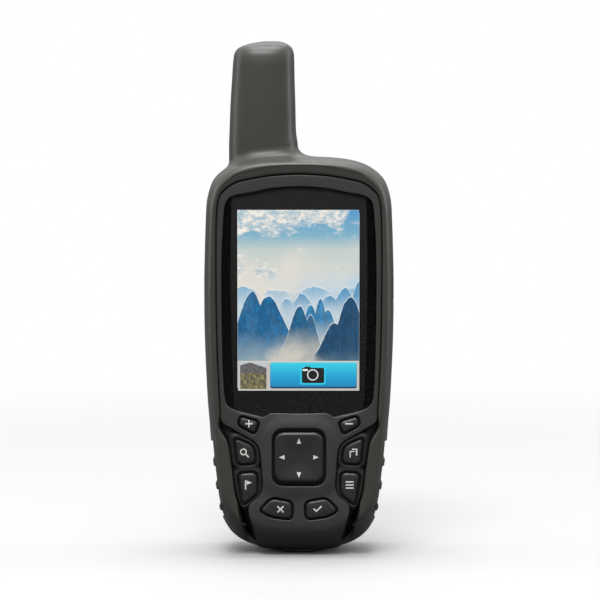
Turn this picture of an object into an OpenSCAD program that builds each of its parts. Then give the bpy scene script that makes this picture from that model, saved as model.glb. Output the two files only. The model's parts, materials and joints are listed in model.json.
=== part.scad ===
// Handheld satellite navigation unit. Millimetres. X to the right, Y to the back, Z up.
// Origin at the middle of the base; the display faces -Y and the unit stands upright.

/* [Body] */
// Full width across the widest point of the housing
body_w = 59.4; // [58.8:0.2:60.2]
// Height of the housing without the antenna stub
body_h = 124.5; // [124:0.5:126]
// Full height with the antenna stub
total_h = 160.6; // [159:0.2:163]
// Depth of the battery compartment opening behind the middle plane
door_y = 10.2; // [10:0.1:10.4]

/* [Window] */
// Thickness of the display window
lens_t = 1.05; // [0.9:0.05:1.15]
// Height of the display module's picture area
picture_h = 56; // [54:0.5:57]
// Width of the display module's picture area
picture_w = 37.7; // [36:0.1:38]

/* [Keys] */
// Gap between each key cap and its hole
key_gap = 0.5; // [0.4:0.05:0.6]
// How far the key caps stand proud of the panel round them
key_proud = 0.5; // [0.3:0.1:0.7]
// Travel of each key
key_travel = 0.6; // [0.3:0.1:0.6]
// How far the back flange of a key laps the panel
key_lap = 0.6; // [0.4:0.1:0.7]

/* [Battery and latch] */
// Diameter of each cylindrical cell
cell_d = 14.5; // [13.8:0.1:14.5]
// Length of each cell over its button
cell_l = 50.5; // [49.5:0.1:50.5]
// Radius to the middle of the pull ring's wire
ring_r = 7.5; // [7.2:0.1:7.6]
// Radius of the pull ring's wire
ring_wire = 0.9; // [0.8:0.05:0.95]
// Radius of the round dish that the pull ring folds into
dish_r = 9; // [8.9:0.05:9.2]

/* [Fits] */
// Radial clearance of the turning fits
run_gap = 0.05; // [0.02:0.01:0.08]
// Gap between the battery cover and its recess
door_gap = 0.3; // [0.25:0.05:0.4]

/* [Ports] */
// Radius of the bore in the external antenna jack
jack_r = 1.9; // [1.7:0.05:2]
// Width of the mounting rail's head
rail_w = 12; // [10:0.5:13]

/* [Hidden] */
$fn = 48;

// ---- colours
shell_c = [0.24, 0.235, 0.22];
rubber_c = [0.16, 0.155, 0.145];
bezel_c = [0.17, 0.17, 0.16];
key_c = [0.2, 0.2, 0.19];

// ---- levels along Y
plate_y = -16.6;               // front panel
panel_y = -15.8;               // the two lower side panels
plate_b = -13.8;               // back of the front panel
ledge_y = -13;                 // ledge in the rear housing
web_y = -4.6;                  // wall behind the electronics
bay_y = -2;                    // floor of the battery bay
back_y = 15.4;                 // flat back
board_y = -9;                  // front face of the circuit board
cell_y = 5.6;                  // middle of the cells
sx = body_w/59.4;
zmid = 62;

// ---- small helpers
function rev(a) = [for (i = [len(a)-1:-1:0]) a[i]];
// full outline from its right half, listed from the top middle down to the bottom middle
function full(h) = concat(h, [for (p = rev(h)) if (p[0] > 0.01) [-p[0], p[1]]]);
function unit(v) = v/norm(v);
function swell(pts, d) = [for (p = pts) [p[0]*(25.7 + d)/25.7, zmid + (p[1] - zmid)*(57 + d)/57]];
// convex polygon with every edge moved inwards by d (clockwise order, seen from the front)
function nrm(a, b) = let (u = unit(b - a)) [u[1], -u[0]];
function meet(a, u, b, v) = let (k = u[0]*v[1] - u[1]*v[0], t = ((b[0]-a[0])*v[1] - (b[1]-a[1])*v[0])/k) a + t*u;
function inset(p, d) = let (n = len(p)) [for (i = [0:n-1]) let (a = p[(i+n-1)%n], b = p[i], c = p[(i+1)%n],
    n1 = nrm(a, b), n2 = nrm(b, c)) meet(a + d*n1, unit(b - a), b + d*n2, unit(c - b))];
// polygon with its corners rounded over a length t
function soft(p, t, k = 5) = let (n = len(p)) [for (i = [0:n-1]) let (a = p[(i+n-1)%n], b = p[i], c = p[(i+1)%n],
    s = min(t, norm(a - b)*0.45, norm(c - b)*0.45), q = b + s*unit(a - b), r = b + s*unit(c - b))
    for (j = [0:k]) let (w = j/k) (1-w)*(1-w)*q + 2*w*(1-w)*b + w*w*r];
function flip(p) = rev([for (q = p) [-q[0], q[1]]]);
function box2(x0, x1, z0, z1) = [[x0, z1], [x1, z1], [x1, z0], [x0, z0]];
function lerp(a, b, t) = a + (b - a)*t;

module yext(y0, y1) { translate([0, y1, 0]) rotate([90, 0, 0]) linear_extrude(y1 - y0) children(); }
module xext(x0, x1) { translate([x0, 0, 0]) rotate([90, 0, 90]) linear_extrude(x1 - x0) children(); }
module ycyl(x, z, y0, y1, r) { translate([x, y1, z]) rotate([90, 0, 0]) cylinder(h = y1 - y0, r = r); }
module ybox(x0, x1, y0, y1, z0, z1) { translate([x0, y0, z0]) cube([x1 - x0, y1 - y0, z1 - z0]); }

// closed skin over a stack of rings with equal point counts; fan closes the ends about their middles
module loft(rings, fan = true) {
    n = len(rings[0]);
    m = len(rings);
    c = [for (r = [rings[0], rings[m-1]]) [for (k = [0:2]) [for (p = r) p[k]]*[for (p = r) 1/n]]];
    polyhedron(points = concat([for (r = rings) for (p = r) p], fan ? c : []),
        faces = concat(
            fan ? [for (j = [0:n-1]) [j, (j+1)%n, m*n]] : [[for (j = [0:n-1]) j]],
            fan ? [for (j = [0:n-1]) [(m-1)*n + (j+1)%n, (m-1)*n + j, m*n + 1]] : [[for (j = [n-1:-1:0]) (m-1)*n + j]],
            [for (i = [0:m-2]) for (j = [0:n-1]) [i*n + j, (i+1)*n + (j+1)%n, i*n + (j+1)%n]],
            [for (i = [0:m-2]) for (j = [0:n-1]) [i*n + j, (i+1)*n + j, (i+1)*n + (j+1)%n]]),
        convexity = 6);
}

// closed skin over rings that go out along one face and back along the other; the ends close across between the two
module strip(rings) {
    n = len(rings[0]);
    m = len(rings);
    e = (m-1)*n;
    polyhedron(points = [for (r = rings) for (p = r) p],
        faces = concat(
            [for (j = [0:n/2-2]) [j, j+1, n-2-j]],
            [for (j = [0:n/2-2]) [j, n-2-j, n-1-j]],
            [for (j = [0:n/2-2]) [e + j, e + n-2-j, e + j+1]],
            [for (j = [0:n/2-2]) [e + j, e + n-1-j, e + n-2-j]],
            [for (i = [0:m-2]) for (j = [0:n-1]) [i*n + j, (i+1)*n + (j+1)%n, i*n + (j+1)%n]],
            [for (i = [0:m-2]) for (j = [0:n-1]) [i*n + j, (i+1)*n + j, (i+1)*n + (j+1)%n]]),
        convexity = 6);
}

// ---- outlines, right halves, [x, z]
out_half = [[0, 124.5], [5, 124.5], [10, 124.3], [14, 123.9], [18, 123.1], [21, 122], [23.5, 120.5], [25.6, 118.7],
    [27, 116.8], [28, 114.2], [28.8, 110.7], [29.2, 104], [29.5, 95], [29.7, 86], [29.7, 76], [29.5, 66], [29.1, 56],
    [28.6, 47], [28.1, 41], [27.72, 35.5], [27.7, 35.2], [27.25, 30.5], [26.75, 26], [26.3, 22], [25.8, 18], [25.1, 14.2],
    [24.5, 12.2], [24, 11], [23.35, 9.7], [23.2, 9.4], [22.6, 8.4], [21.7, 7.1], [20.5, 5.8], [19, 4.6], [16.5, 3.2],
    [13.5, 2.1], [10, 1.1], [7, 0.45], [4, 0]];
open_half = [[0, 119.4], [9.5, 118.8], [14.2, 118], [19.4, 116.8], [21.3, 115.8], [23.1, 114.4], [24.4, 112.8],
    [25, 111.2], [25.5, 107], [25.7, 99], [25.7, 80], [25.5, 68], [25.2, 59], [24.9, 52.6], [24.6, 47], [24.5, 44.5],
    [24.9, 41.3], [22.4, 36.8], [21.9, 35], [20.8, 27.5], [19.8, 19.6], [19.2, 18], [18.4, 12.4], [17.5, 9.35]];
cav_half = [[0, 117.6], [18.6, 115.3], [22, 113.2], [23.6, 110], [24.1, 98], [24.1, 80], [23.8, 62], [23.2, 47],
    [20.4, 37], [19, 25], [17.6, 14], [15.5, 11.2], [0, 10.8]];
keypad_half = [[0, 42], [24.2, 42], [22.2, 36.9], [21.7, 35], [20.6, 27.5], [19.6, 19.6], [19, 18], [18.2, 12.5], [17.9, 11.3], [0, 11.3]];
lens_half = [[0, 115.3], [6, 115], [10, 114.5], [14, 113.6], [17.5, 113], [20, 112.5], [21.9, 111.2], [22.7, 109.4],
    [23.2, 104], [23.5, 99], [23.75, 90], [23.75, 80.5], [23.6, 68], [23.35, 58.8], [23.05, 52.6], [22.7, 49.5],
    [22, 47.9], [20.4, 46.7], [12.75, 44.7], [10.85, 44.25], [10.2, 44.6], [9.15, 45.3], [0, 45.3]];
side_cut = [[24.8, 43.9], [40, 43.9], [40, 4], [13, 4], [13.1, 5], [13.7, 6.7], [14.5, 9.7], [15.3, 12.5], [15.7, 15.3],
    [15.3, 16.7], [12.5, 19.1], [11.4, 21.6], [11.6, 27.6], [12.1, 33.2], [12.5, 34.7], [13.7, 36.3], [15.6, 37.5],
    [18.8, 39.3], [21.2, 40.7], [23.9, 42.5]];

// depth stations of the housing: [y, inset at the sides, inset at the top, rise of the bottom]
stations = [[-17.6, 3, 2.6, 9], [-17.2, 2.2, 1.9, 8.2], [-16, 1.4, 1.3, 7], [-15.2, 1.2, 1.15, 6.3], [-15, 1.15, 1.1, 6.1],
    [-14.5, 1.05, 1, 5.6], [-12.5, 0.7, 0.7, 3.7], [-11, 0.53, 0.53, 2.65], [-7, 0.15, 0.15, 0.5], [-4, 0, 0, 0], [6.8, 0.28, 0.28, 0],
    [7, 0.3, 0.3, 0], [9, 1, 1, 0.9], [11.5, 2.3, 2.3, 2.3], [13.5, 4.2, 4.2, 4.2], [14.9, 7, 7, 7], [15.4, 10, 10, 10]];
function st(y, k) = lookup(y, [for (s = stations) [s[0], s[k]]]);
function low(z) = z < zmid ? pow((zmid - z)/zmid, 2) : 0;
function high(z) = z > zmid ? (z - zmid)/(124.5 - zmid) : 0;
// a point of the housing's skin: nominal outline point p, depth y, sunk by d
function skin(p, y, d = 0) = [p[0]*(29.7 - st(y, 1))/29.7*sx - sign(p[0])*d, y,
    (p[1] + st(y, 3)*low(p[1]) - st(y, 2)*high(p[1]))*(p[1] > zmid ? lerp(1, body_h/124.5, high(p[1])) : 1)];
// pocket for the side grips in the skin
grip_z0 = 9.55;
grip_z1 = 35.35;
function pocket(p, y) = (p[1] > grip_z0 && p[1] < grip_z1 && abs(p[0]) > 20 && y > -15.1 && y < 6.9) ? 1.5 : 0;

// antenna stub: [z, left edge, right edge, front edge, back edge]
stub = [[110, -17, 1, -7, 8], [118, -20.3, 4, -8.6, 10.6], [121.2, -22.05, 5.6, -9.7, 11.8], [123.4, -22.2, 5.8, -9.8, 12],
    [124.1, -22.15, 5.2, -9.6, 12], [124.8, -22.1, 3.3, -9.3, 12], [125.5, -22.1, 1.9, -9, 11.95], [126.6, -22.1, 0.7, -8.6, 11.9], [128.5, -22, -0.35, -8.3, 11.8], [132, -21.85, -0.85, -8.2, 11.7],
    [141, -21.5, -1.1, -8, 11.5], [149, -21, -1.35, -7.7, 11.2], [154.5, -20.6, -1.45, -7.4, 10.8], [156.8, -20.2, -1.6, -6.9, 10.3],
    [158.3, -19.1, -2.1, -5.9, 9.3], [159.4, -16.8, -3.2, -4, 7.4], [160.2, -13.4, -4.8, -1.2, 4.8], [160.6, -10.6, -6, 0.6, 3]];
function zstub(z) = z < 126 ? z : 126 + (z - 126)*(total_h - 126)/34.6;
function sq(v, e) = sign(v)*pow(abs(v), e);
function oval(s, n) = [for (j = [0:n-1]) let (a = 360*(j + 0.5)/n, e = 0.72)
    [(s[1]+s[2])/2 + (s[2]-s[1])/2*sq(cos(a), e), (s[3]+s[4])/2 + (s[4]-s[3])/2*sq(sin(a), e), zstub(s[0])]];

// ---- positions, [x, z]
screws = [[21.2, 47], [-21.2, 47], [15.6, 11.8], [-15.6, 11.8]];
latch_z = 16;
usb_p = [13, 95];
jack_p = [12.6, 107];
cam_p = [-12.6, 107];
flash_p = [-12.6, 95.5];
rocker_z = 31.7;
pivot_y = -11;
door_pts = [[-22.5, 86.3], [22.5, 86.3], [22.5, 5.2], [-22.5, 5.2]];

module shell_solid() { loft([for (s = stations) [for (p = full(out_half)) skin(p, s[0], pocket(p, s[0]))]]); }
module plain_solid() { loft([for (s = stations) [for (p = full(out_half)) skin(p, s[0])]]); }

// Rear tub, front rim and antenna stub, moulded as one
module rear_housing() {
    color(shell_c) difference() {
        union() {
            shell_solid();
            loft([for (s = stub) oval(s, 32)]);
        }
        // front opening, chin notch, electronics cavity
        yext(-19, ledge_y) polygon(concat([for (p = open_half) p], [[16.5, 6], [15.3, 3], [13, 0.6], [13, -2]],
            flip(concat([for (p = open_half) if (p[0] > 0.1) p], [[16.5, 6], [15.3, 3], [13, 0.6], [13, -2]]))));
        yext(ledge_y - 0.1, -7.7) polygon([[-17.5, 9.35], [17.5, 9.35], [16.5, 6], [15.3, 3], [13, 0.6], [13, -2],
            [-13, -2], [-13, 0.6], [-15.3, 3], [-16.5, 6]]);
        yext(ledge_y - 0.1, web_y) polygon(full(cav_half));
        yext(ledge_y - 0.1, -11.3) polygon(full(keypad_half));
        for (p = screws) {
            ycyl(p[0], p[1], ledge_y - 0.1, web_y, 2.35);
            ycyl(p[0], p[1], web_y - 0.1, 0, 1.3);
            ycyl(p[0], p[1], -1, door_y + 0.1, 2.3);
        }
        // weight-saving pockets beside the bay and behind the keypad
        for (s = [-1, 1]) yext(web_y - 0.1, 8) polygon(box2(s > 0 ? 17.6 : -24, s > 0 ? 24 : -17.6, 53, 80));
        yext(web_y - 0.1, 6.5) polygon(box2(-12, 12, 12, 25.5));
        // battery bay, card recess, cover recess, room for the cam
        yext(bay_y, 20) polygon(box2(-15.6, 15.6, 27.8, 82.6));
        yext(-3.9, bay_y + 0.1) polygon(box2(-6.6, 6.6, 48, 64.2));
        yext(door_y, 20) polygon(soft(door_pts, 7));
        ycyl(0, latch_z, 8.3, door_y + 0.1, 8.6);
        // upper pocket and the bore of the antenna stub
        yext(web_y - 0.1, 12.6) polygon([[-16, 117], [16, 117], [19.5, 113], [19.5, 89.5], [-19.5, 89.5], [-19.5, 113]]);
        translate([-11.4, 2, 112]) cylinder(h = 44, r = 6.8);
        // camera and flash
        ycyl(cam_p[0], cam_p[1], 14.3, 20, 4.4);
        ycyl(cam_p[0], cam_p[1], 12, 20, 3.2);
        ycyl(flash_p[0], flash_p[1], 14.4, 20, 2.9);
        ycyl(flash_p[0], flash_p[1], 12, 20, 2);
        // ports
        ybox(usb_p[0] - 6.2, usb_p[0] + 6.2, 13.6, 20, usb_p[1] - 5.2, usb_p[1] + 5.2);
        ybox(usb_p[0] - 4.4, usb_p[0] + 4.4, 12, 14, usb_p[1] - 3.2, usb_p[1] + 2.6);
        ycyl(jack_p[0], jack_p[1], 13.6, 20, 4.8);
        ybox(jack_p[0] - 2, jack_p[0] + 2, 13.6, 20, jack_p[1] + 1, jack_p[1] + 5.4);
        ycyl(jack_p[0], jack_p[1], 12, 14, 3.5);
        // rail screws
        for (z = [94, 109]) ycyl(0, z, 12, 16, 1.05);
        // power button
        xext(24, 32) polygon(soft([[-13.3, 89.9], [-6.7, 89.9], [-6.7, 79.3], [-13.3, 79.3]], 3));
        ybox(23, 25.9, -13.05, -5.6, 77.6, 91.6);
    }
}

// Front panel: display frame, keypad panel and chin
holes = [
    [[-18.4, 45], [-11.7, 43], [-13.4, 38.1], [-19.4, 41.5]],
    [[-20.6, 38.5], [-13.5, 35.3], [-12.7, 29.2], [-19.6, 28.6]],
    [[-19.6, 27], [-12.5, 27.4], [-12.3, 19.8], [-17.9, 15.5]],
    [[-8.7, 19.35], [-1.5, 18], [-1.8, 11.6], [-9.2, 12.6], [-13, 14.9]]];
rocker_hole = [[-8.4, 40.7], [8.4, 40.7], [8.4, 22.6], [-8.4, 22.6]];
corner = [1.8, 2.2, 2.2, 2];

chin_pts = [[-17.3, 10.3], [17.3, 10.3], [17.2, 9.2], [16.5, 6.5], [15.9, 4.7], [14.9, 3.3], [13, 2.2], [9.5, 1.4], [5, 1], [-5, 1],
    [-9.5, 1.4], [-13, 2.2], [-14.9, 3.3], [-15.9, 4.7], [-16.5, 6.5], [-17.2, 9.2]];
module front_housing() {
    color(bezel_c) union() {
        difference() {
            yext(plate_y, plate_b) polygon(swell(full(open_half), -0.2));
            yext(plate_y - 1, -15.2) polygon(swell(full(lens_half), 0.15));
            yext(-15.3, plate_b + 1) polygon(soft(box2(-21.2, 21.2, 50.3, 110.1), 2));
            for (s = [0, 1]) yext(plate_y - 1, panel_y) polygon(s == 0 ? side_cut : flip(side_cut));
            for (i = [0:3]) {
                yext(plate_y - 1, plate_b + 1) polygon(soft(holes[i], corner[i]));
                yext(plate_y - 1, plate_b + 1) polygon(soft(flip(holes[i]), corner[i]));
            }
            yext(plate_y - 1, plate_b + 1) polygon(soft(rocker_hole, 4));
        }
        intersection() {
            xext(-20, 20) polygon([[-16.6, 10.2], [-16.6, 9.2], [-15, 6.3], [-12.5, 3.8], [-9.5, 1.8], [-7.9, 1], [-7.9, 9.15], [-13.8, 9.15], [-13.8, 10.2]]);
            yext(-18, -7) polygon(chin_pts);
        }
        for (p = screws) difference() {
            ycyl(p[0], p[1], plate_b - 0.1, web_y - 0.3, 2);
            ycyl(p[0], p[1], -9.8, 0, 1.15);
        }
    }
}

// Rubber side grip with three ribs, on the right; the left one mirrors it
rib_z = [[9.9, 0], [11, 0], [12.2, 0], [13, 0], [13.3, 1], [14.5, 1], [14.8, 0], [18, 0], [19.8, 0], [20.1, 1], [21.9, 1], [22.2, 0],
    [26, 0], [27.2, 0], [27.5, 1], [29.4, 1], [29.7, 0], [30.5, 0], [35.05, 0]];
function side_x(z) = lookup(z, [for (p = rev(out_half)) [p[1], p[0]]]);
module grip() {
    ys = [-14.8, -13.6, -11.5, -9, -7, -4, 0, 3, 5, 6.6];
    strip([for (r = rib_z) concat(
        [for (y = ys) let (e = (y < -14 || y > 6) ? 0.4 : 1) skin([side_x(r[0]), r[0]], y, 0.55 - 0.55*r[1]*e)],
        [for (y = rev(ys)) skin([side_x(r[0]), r[0]], y, 1.4)])]);
}
module grip_right() { color(rubber_c) grip(); }
module grip_left() { color(rubber_c) mirror([1, 0, 0]) grip(); }

module housing_gasket() {
    color([0.1, 0.1, 0.1]) difference() {
        yext(plate_b + 0.03, ledge_y - 0.05) polygon(swell(full(open_half), -0.35));
        yext(plate_b - 1, 0) polygon(swell(full(cav_half), 0.1));
        yext(plate_b - 1, 0) polygon(box2(-40, 40, 0, 42.6));
        for (p = screws) ycyl(p[0], p[1], plate_b - 1, 0, 2.3);
    }
}

module housing_screws() {
    color("silver") for (p = screws) difference() {
        union() {
            ycyl(p[0], p[1], -9.5, -0.95, 1.1);
            ycyl(p[0], p[1], -0.98, 0.7, 2);
        }
        ycyl(p[0], p[1], -0.1, 1, 0.9, $fn = 6);
    }
}

// ---- display
module window_lens() { color([0.05, 0.05, 0.06]) yext(-16.4, -16.4 + lens_t) polygon(full(lens_half)); }
module lens_adhesive() {
    color([0.1, 0.1, 0.1]) difference() {
        yext(-16.38 + lens_t, -15.22) polygon(swell(full(lens_half), -0.4));
        yext(-17, -14) polygon(box2(-21.4, 21.4, 50.1, 110.3));
    }
}
module lcd_panel() {
    color([0.35, 0.55, 0.7]) union() {
        ybox(-20.9, 20.9, -14.4, -12.8, 50.6, 109.8);
        ybox(-picture_w/2 - 0.17, picture_w/2 - 0.17, -15, -14.39, 80.2 - picture_h/2, 80.2 + picture_h/2);
    }
}
module lcd_frame() {
    color("gainsboro") difference() {
        ybox(-21, 21, -12.78, -12.3, 50.5, 109.9);
        ybox(-15, 15, -13, -12, 60, 100);
    }
}
module lcd_flex() {
    color("peru") union() {
        ybox(-6, 6, -12.7, -12.5, 45.6, 50.45);
        ybox(-6, 6, -12.7, -9.05, 45.4, 45.62);
    }
}

// ---- keys: cap through the panel, flange behind it, plunger over its switch
function mid(p) = [for (k = [0:1]) let (n = len(p)) [for (q = p) q[k]]*[for (q = p) 1/n]];
module key(p, t, face) {
    c = mid(p);
    color(key_c) union() {
        yext(face - key_proud, plate_b + 0.25) polygon(soft(inset(p, key_gap), t - 0.3));
        yext(plate_b + 0.2, -12.8) polygon(soft(inset(p, -key_lap), t));
        ycyl(c[0], c[1], -12.9, -9.9 - key_travel, 1.1);
    }
}
module key_zoom_in() { key(holes[0], corner[0], plate_y); }
module key_zoom_out() { key(flip(holes[0]), corner[0], plate_y); }
module key_find() { key(holes[1], corner[1], panel_y); }
module key_page() { key(flip(holes[1]), corner[1], panel_y); }
module key_mark() { key(holes[2], corner[2], panel_y); }
module key_menu() { key(flip(holes[2]), corner[2], panel_y); }
module key_quit() { key(holes[3], corner[3], plate_y); }
module key_enter() { key(flip(holes[3]), corner[3], plate_y); }

module rocker_pad() {
    color(key_c) difference() {
        union() {
            yext(-18, -12.7) polygon(soft(box2(-7.6, 7.6, 24, 39.5), 3));
            yext(-12.8, -12.3) polygon(soft(box2(-9.1, 9.1, rocker_z - 9.5, rocker_z + 9.5), 3));
            for (s = [-1, 1]) {
                ybox(-1.3, 1.3, -12.7, pivot_y + 1.1, rocker_z + s*3.9 - 0.7, rocker_z + s*3.9 + 0.7);
                ycyl(s*6.4, rocker_z, -12.7, -10.4, 0.9);
                ycyl(0, rocker_z + s*6.4, -12.7, -10.4, 0.9);
            }
        }
        translate([0, pivot_y, rocker_z - 6]) cylinder(h = 12, r = 0.6 + run_gap);
    }
}
module rocker_pivot() {
    color("silver") union() {
        translate([0, pivot_y, rocker_z - 4.55]) cylinder(h = 9.1, r = 0.6);
        translate([-4.55, pivot_y, rocker_z]) rotate([0, 90, 0]) cylinder(h = 9.1, r = 0.6);
        ybox(-1, 1, pivot_y - 0.8, pivot_y + 0.8, rocker_z - 1, rocker_z + 1);
    }
}
module rocker_bearing() {
    color("dimgray") difference() {
        union() {
            for (s = [-1, 1]) ybox(s*3.9 - 0.7, s*3.9 + 0.7, -11.95, board_y - 0.02, rocker_z - 1.3, rocker_z + 1.3);
            ybox(-4.6, 4.6, board_y - 0.5, board_y - 0.02, rocker_z - 1.3, rocker_z + 1.3);
        }
        translate([-7, pivot_y, rocker_z]) rotate([0, 90, 0]) cylinder(h = 14, r = 0.6 + run_gap);
    }
}
module keypad_membrane() {
    color([0.12, 0.12, 0.12]) difference() {
        yext(-12, -11.4) polygon(swell(full(keypad_half), -0.25));
        yext(-13, -10) polygon(box2(-10, 10, 21.3, 44));
        for (s = [-1, 1]) for (h = holes) ycyl(s*mid(h)[0], mid(h)[1], -13, -10, 1.7);
        for (p = screws) ycyl(p[0], p[1], -13, -10, 2.35);
    }
}
module key_switches() {
    color("gainsboro") union() {
        for (s = [-1, 1]) {
            for (h = holes) ycyl(s*mid(h)[0], mid(h)[1], -9.7, board_y - 0.02, 2);
            ycyl(s*7, rocker_z, -9.8, board_y - 0.02, 1.7);
            ycyl(0, rocker_z + s*7, -9.8, board_y - 0.02, 1.7);
        }
    }
}

module power_button() {
    color(rubber_c) union() {
        xext(25, 29.45) polygon(soft([[-12.8, 89.4], [-7.2, 89.4], [-7.2, 79.8], [-12.8, 79.8]], 2.7));
        xext(24.6, 25.55) polygon(soft([[-12.9, 91.2], [-6.1, 91.2], [-6.1, 78], [-12.9, 78]], 2.7));
    }
}
module power_switch() { color("dimgray") union() { ybox(19.8, 22.6, -11.6, board_y - 0.02, 82.2, 87); ybox(22.5, 23.7, -10.9, -9.6, 83.6, 85.6); } }

// ---- battery cover and its latch
module battery_cover() {
    color([0.2, 0.195, 0.185]) difference() {
        intersection() {
            plain_solid();
            yext(door_y + 0.3, 20) polygon(soft(inset(door_pts, door_gap), 6.8));
        }
        difference() {
            yext(door_y, 13.1) polygon(soft(inset(door_pts, door_gap + 1.4), 6));
            ycyl(0, latch_z, door_y + 0.6, 13.5, 9.85);
        }
        ycyl(0, latch_z, 12, 20, dish_r);
        ycyl(0, latch_z, 9, 13, 3 + run_gap);
        // thumb notch at the lower edge of the dish
        ycyl(0, latch_z - 9.3, 13.2, 20, 2.6);
    }
}
module battery_seal() {
    color([0.1, 0.1, 0.1]) difference() {
        yext(door_y + 0.2, 13.05) polygon(soft(box2(-18.2, 18.2, 26.1, 84.3), 2));
        yext(door_y, 14) polygon(soft(box2(-16.9, 16.9, 27.4, 83), 1.5));
    }
}
module latch_hub() {
    color("silver") difference() {
        union() {
            ycyl(0, latch_z, 12.12, 13.1, 6);
            ycyl(0, latch_z, 9.1, 12.2, 3);
            for (s = [-1, 1]) ybox(s*3.4 - 1.2, s*3.4 + 1.2, 13, 15.3, latch_z - 1.7, latch_z + 1.7);
        }
        translate([-8, 14.2, latch_z]) rotate([0, 90, 0]) cylinder(h = 16, r = ring_wire + run_gap);
    }
}
module latch_ring() {
    color("silver") translate([0, 14.2, latch_z]) union() {
        rotate([90, 0, 0]) rotate([0, 0, 180]) rotate_extrude(angle = 180, $fn = 64) translate([ring_r, 0]) circle(r = ring_wire, $fn = 24);
        translate([-ring_r, 0, 0]) rotate([0, 90, 0]) cylinder(h = 2*ring_r, r = ring_wire, $fn = 24);
        for (s = [-1, 1]) translate([s*ring_r, 0, 0]) sphere(r = ring_wire, $fn = 24);
    }
}
module latch_cam() {
    color("gray") difference() {
        yext(9.15, door_y + 0.3) polygon(soft(box2(-7, 7, latch_z - 2.6, latch_z + 4.4), 2));
        ycyl(0, latch_z, 8, 12, 3.02);
    }
}

// ---- power and electronics
module cell(up) {
    z0 = 30.2;
    translate([0, cell_y, up ? z0 : z0 + cell_l]) mirror([0, 0, up ? 0 : 1]) rotate_extrude()
        polygon([[0, 0], [cell_d/2 - 0.6, 0], [cell_d/2, 0.6], [cell_d/2, cell_l - 1.8], [cell_d/2 - 0.8, cell_l - 1], [2.7, cell_l - 1],
            [2.7, cell_l - 0.3], [2.4, cell_l], [0, cell_l]]);
}
module aa_cell_left() { color([0.15, 0.3, 0.5]) translate([-7.6, 0, 0]) cell(true); }
module aa_cell_right() { color([0.15, 0.3, 0.5]) translate([7.6, 0, 0]) cell(false); }
module torus(r, t) { rotate_extrude($fn = 32) translate([r, 0]) circle(r = t, $fn = 16); }
module contact_springs() {
    color("silver") union() {
        translate([-7.6, cell_y, 28.6]) { torus(5, 0.35); translate([0, 0, 0.5]) torus(4.2, 0.35); translate([0, 0, 1]) torus(3.4, 0.35); }
        translate([7.6, cell_y, 81.9]) { torus(5, 0.35); translate([0, 0, -0.45]) torus(4.2, 0.35); translate([0, 0, -0.85]) torus(3.4, 0.3); }
        ybox(-13.4, -1.8, cell_y - 5.5, cell_y + 5.5, 27.85, 28.3);
        ybox(1.8, 13.4, cell_y - 5.5, cell_y + 5.5, 82.2, 82.55);
    }
}
module contact_plates() {
    color("silver") union() {
        ybox(2, 13.2, cell_y - 4.5, cell_y + 4.5, 27.85, 28.25);
        translate([7.6, cell_y, 28.2]) cylinder(h = 1.7, r = 1.6);
        ybox(-13.2, -2, cell_y - 4.5, cell_y + 4.5, 82.15, 82.55);
        translate([-7.6, cell_y, 80.9]) cylinder(h = 1.3, r = 1.6);
    }
}
board_half = [[18, 113.2], [20.8, 110], [20.8, 51], [18.8, 45], [18.5, 27], [16.9, 18], [12.9, 14.4], [12.9, 12], [0, 12]];
module main_board() {
    color([0.05, 0.3, 0.15]) difference() {
        yext(board_y, board_y + 1) polygon(full(concat([[0, 113.2]], board_half)));
        for (p = screws) ycyl(p[0], p[1], -11, -5, 2.5);
        for (s = [-1, 1]) for (z = [53, 104]) ycyl(s*17.5, z, -11, -5, 1.1);
    }
}
module shield_cans() {
    color("silver") union() {
        ybox(-15, 3, board_y + 1.02, board_y + 3.2, 88, 110);
        ybox(-13, 13, board_y + 1.02, board_y + 2.8, 56, 72);
    }
}
module board_chips() {
    color([0.1, 0.1, 0.1]) union() {
        ybox(6, 15, board_y + 1.02, board_y + 2.2, 90, 100);
        ybox(-14, -6, board_y + 1.02, board_y + 2, 76, 84);
        ybox(-1, 6, board_y + 1.02, board_y + 2, 76, 84);
        ybox(-12, 12, board_y + 1.02, board_y + 2, 36, 44);
    }
}
module board_screws() {
    color("silver") for (s = [-1, 1]) for (z = [53, 104]) union() {
        ycyl(s*17.5, z, board_y - 1.2, board_y, 1.9);
        ycyl(s*17.5, z, board_y - 0.1, web_y - 0.1, 1);
    }
}
module coin_cell() { color("silver") ycyl(10, 26, board_y + 1.02, board_y + 3.1, 4.6); }
module speaker() { color([0.15, 0.15, 0.15]) difference() { ycyl(-9, 24, board_y + 1.02, board_y + 4, 5.2); ycyl(-9, 24, board_y + 3.4, board_y + 5, 3.6); } }

// ---- antenna
module antenna_core() {
    color([0.85, 0.83, 0.75]) difference() {
        translate([-11.4, 2, 118.5]) union() { cylinder(h = 34, r = 5.2); cylinder(h = 1.4, r = 6.5); }
        translate([-11.4, 2, 118]) cylinder(h = 36, r = 4.2);
    }
}
module tape(a0) {
    loft([for (i = [0:10]) let (a = a0 + 17*i, z = 3*i) [for (q = [[5.25, -1.1], [5.5, -1.1], [5.5, 1.1], [5.25, 1.1]])
        [q[0]*cos(a) - q[1]*sin(a), q[0]*sin(a) + q[1]*cos(a), z]]]);
}
module antenna_helix() {
    color([0.75, 0.45, 0.25]) translate([-11.4, 2, 120.5]) for (a = [0:90:270]) tape(a);
}
module antenna_lead() {
    color([0.2, 0.2, 0.2]) union() {
        translate([-11.4, 2, 101]) cylinder(h = 17.4, r = 0.7, $fn = 16);
        ycyl(-11.4, 101, board_y + 3.3, 2.6, 0.7, $fn = 16);
        ycyl(-11.4, 101, board_y + 3.25, board_y + 4.4, 1.6, $fn = 24);
    }
}

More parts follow.
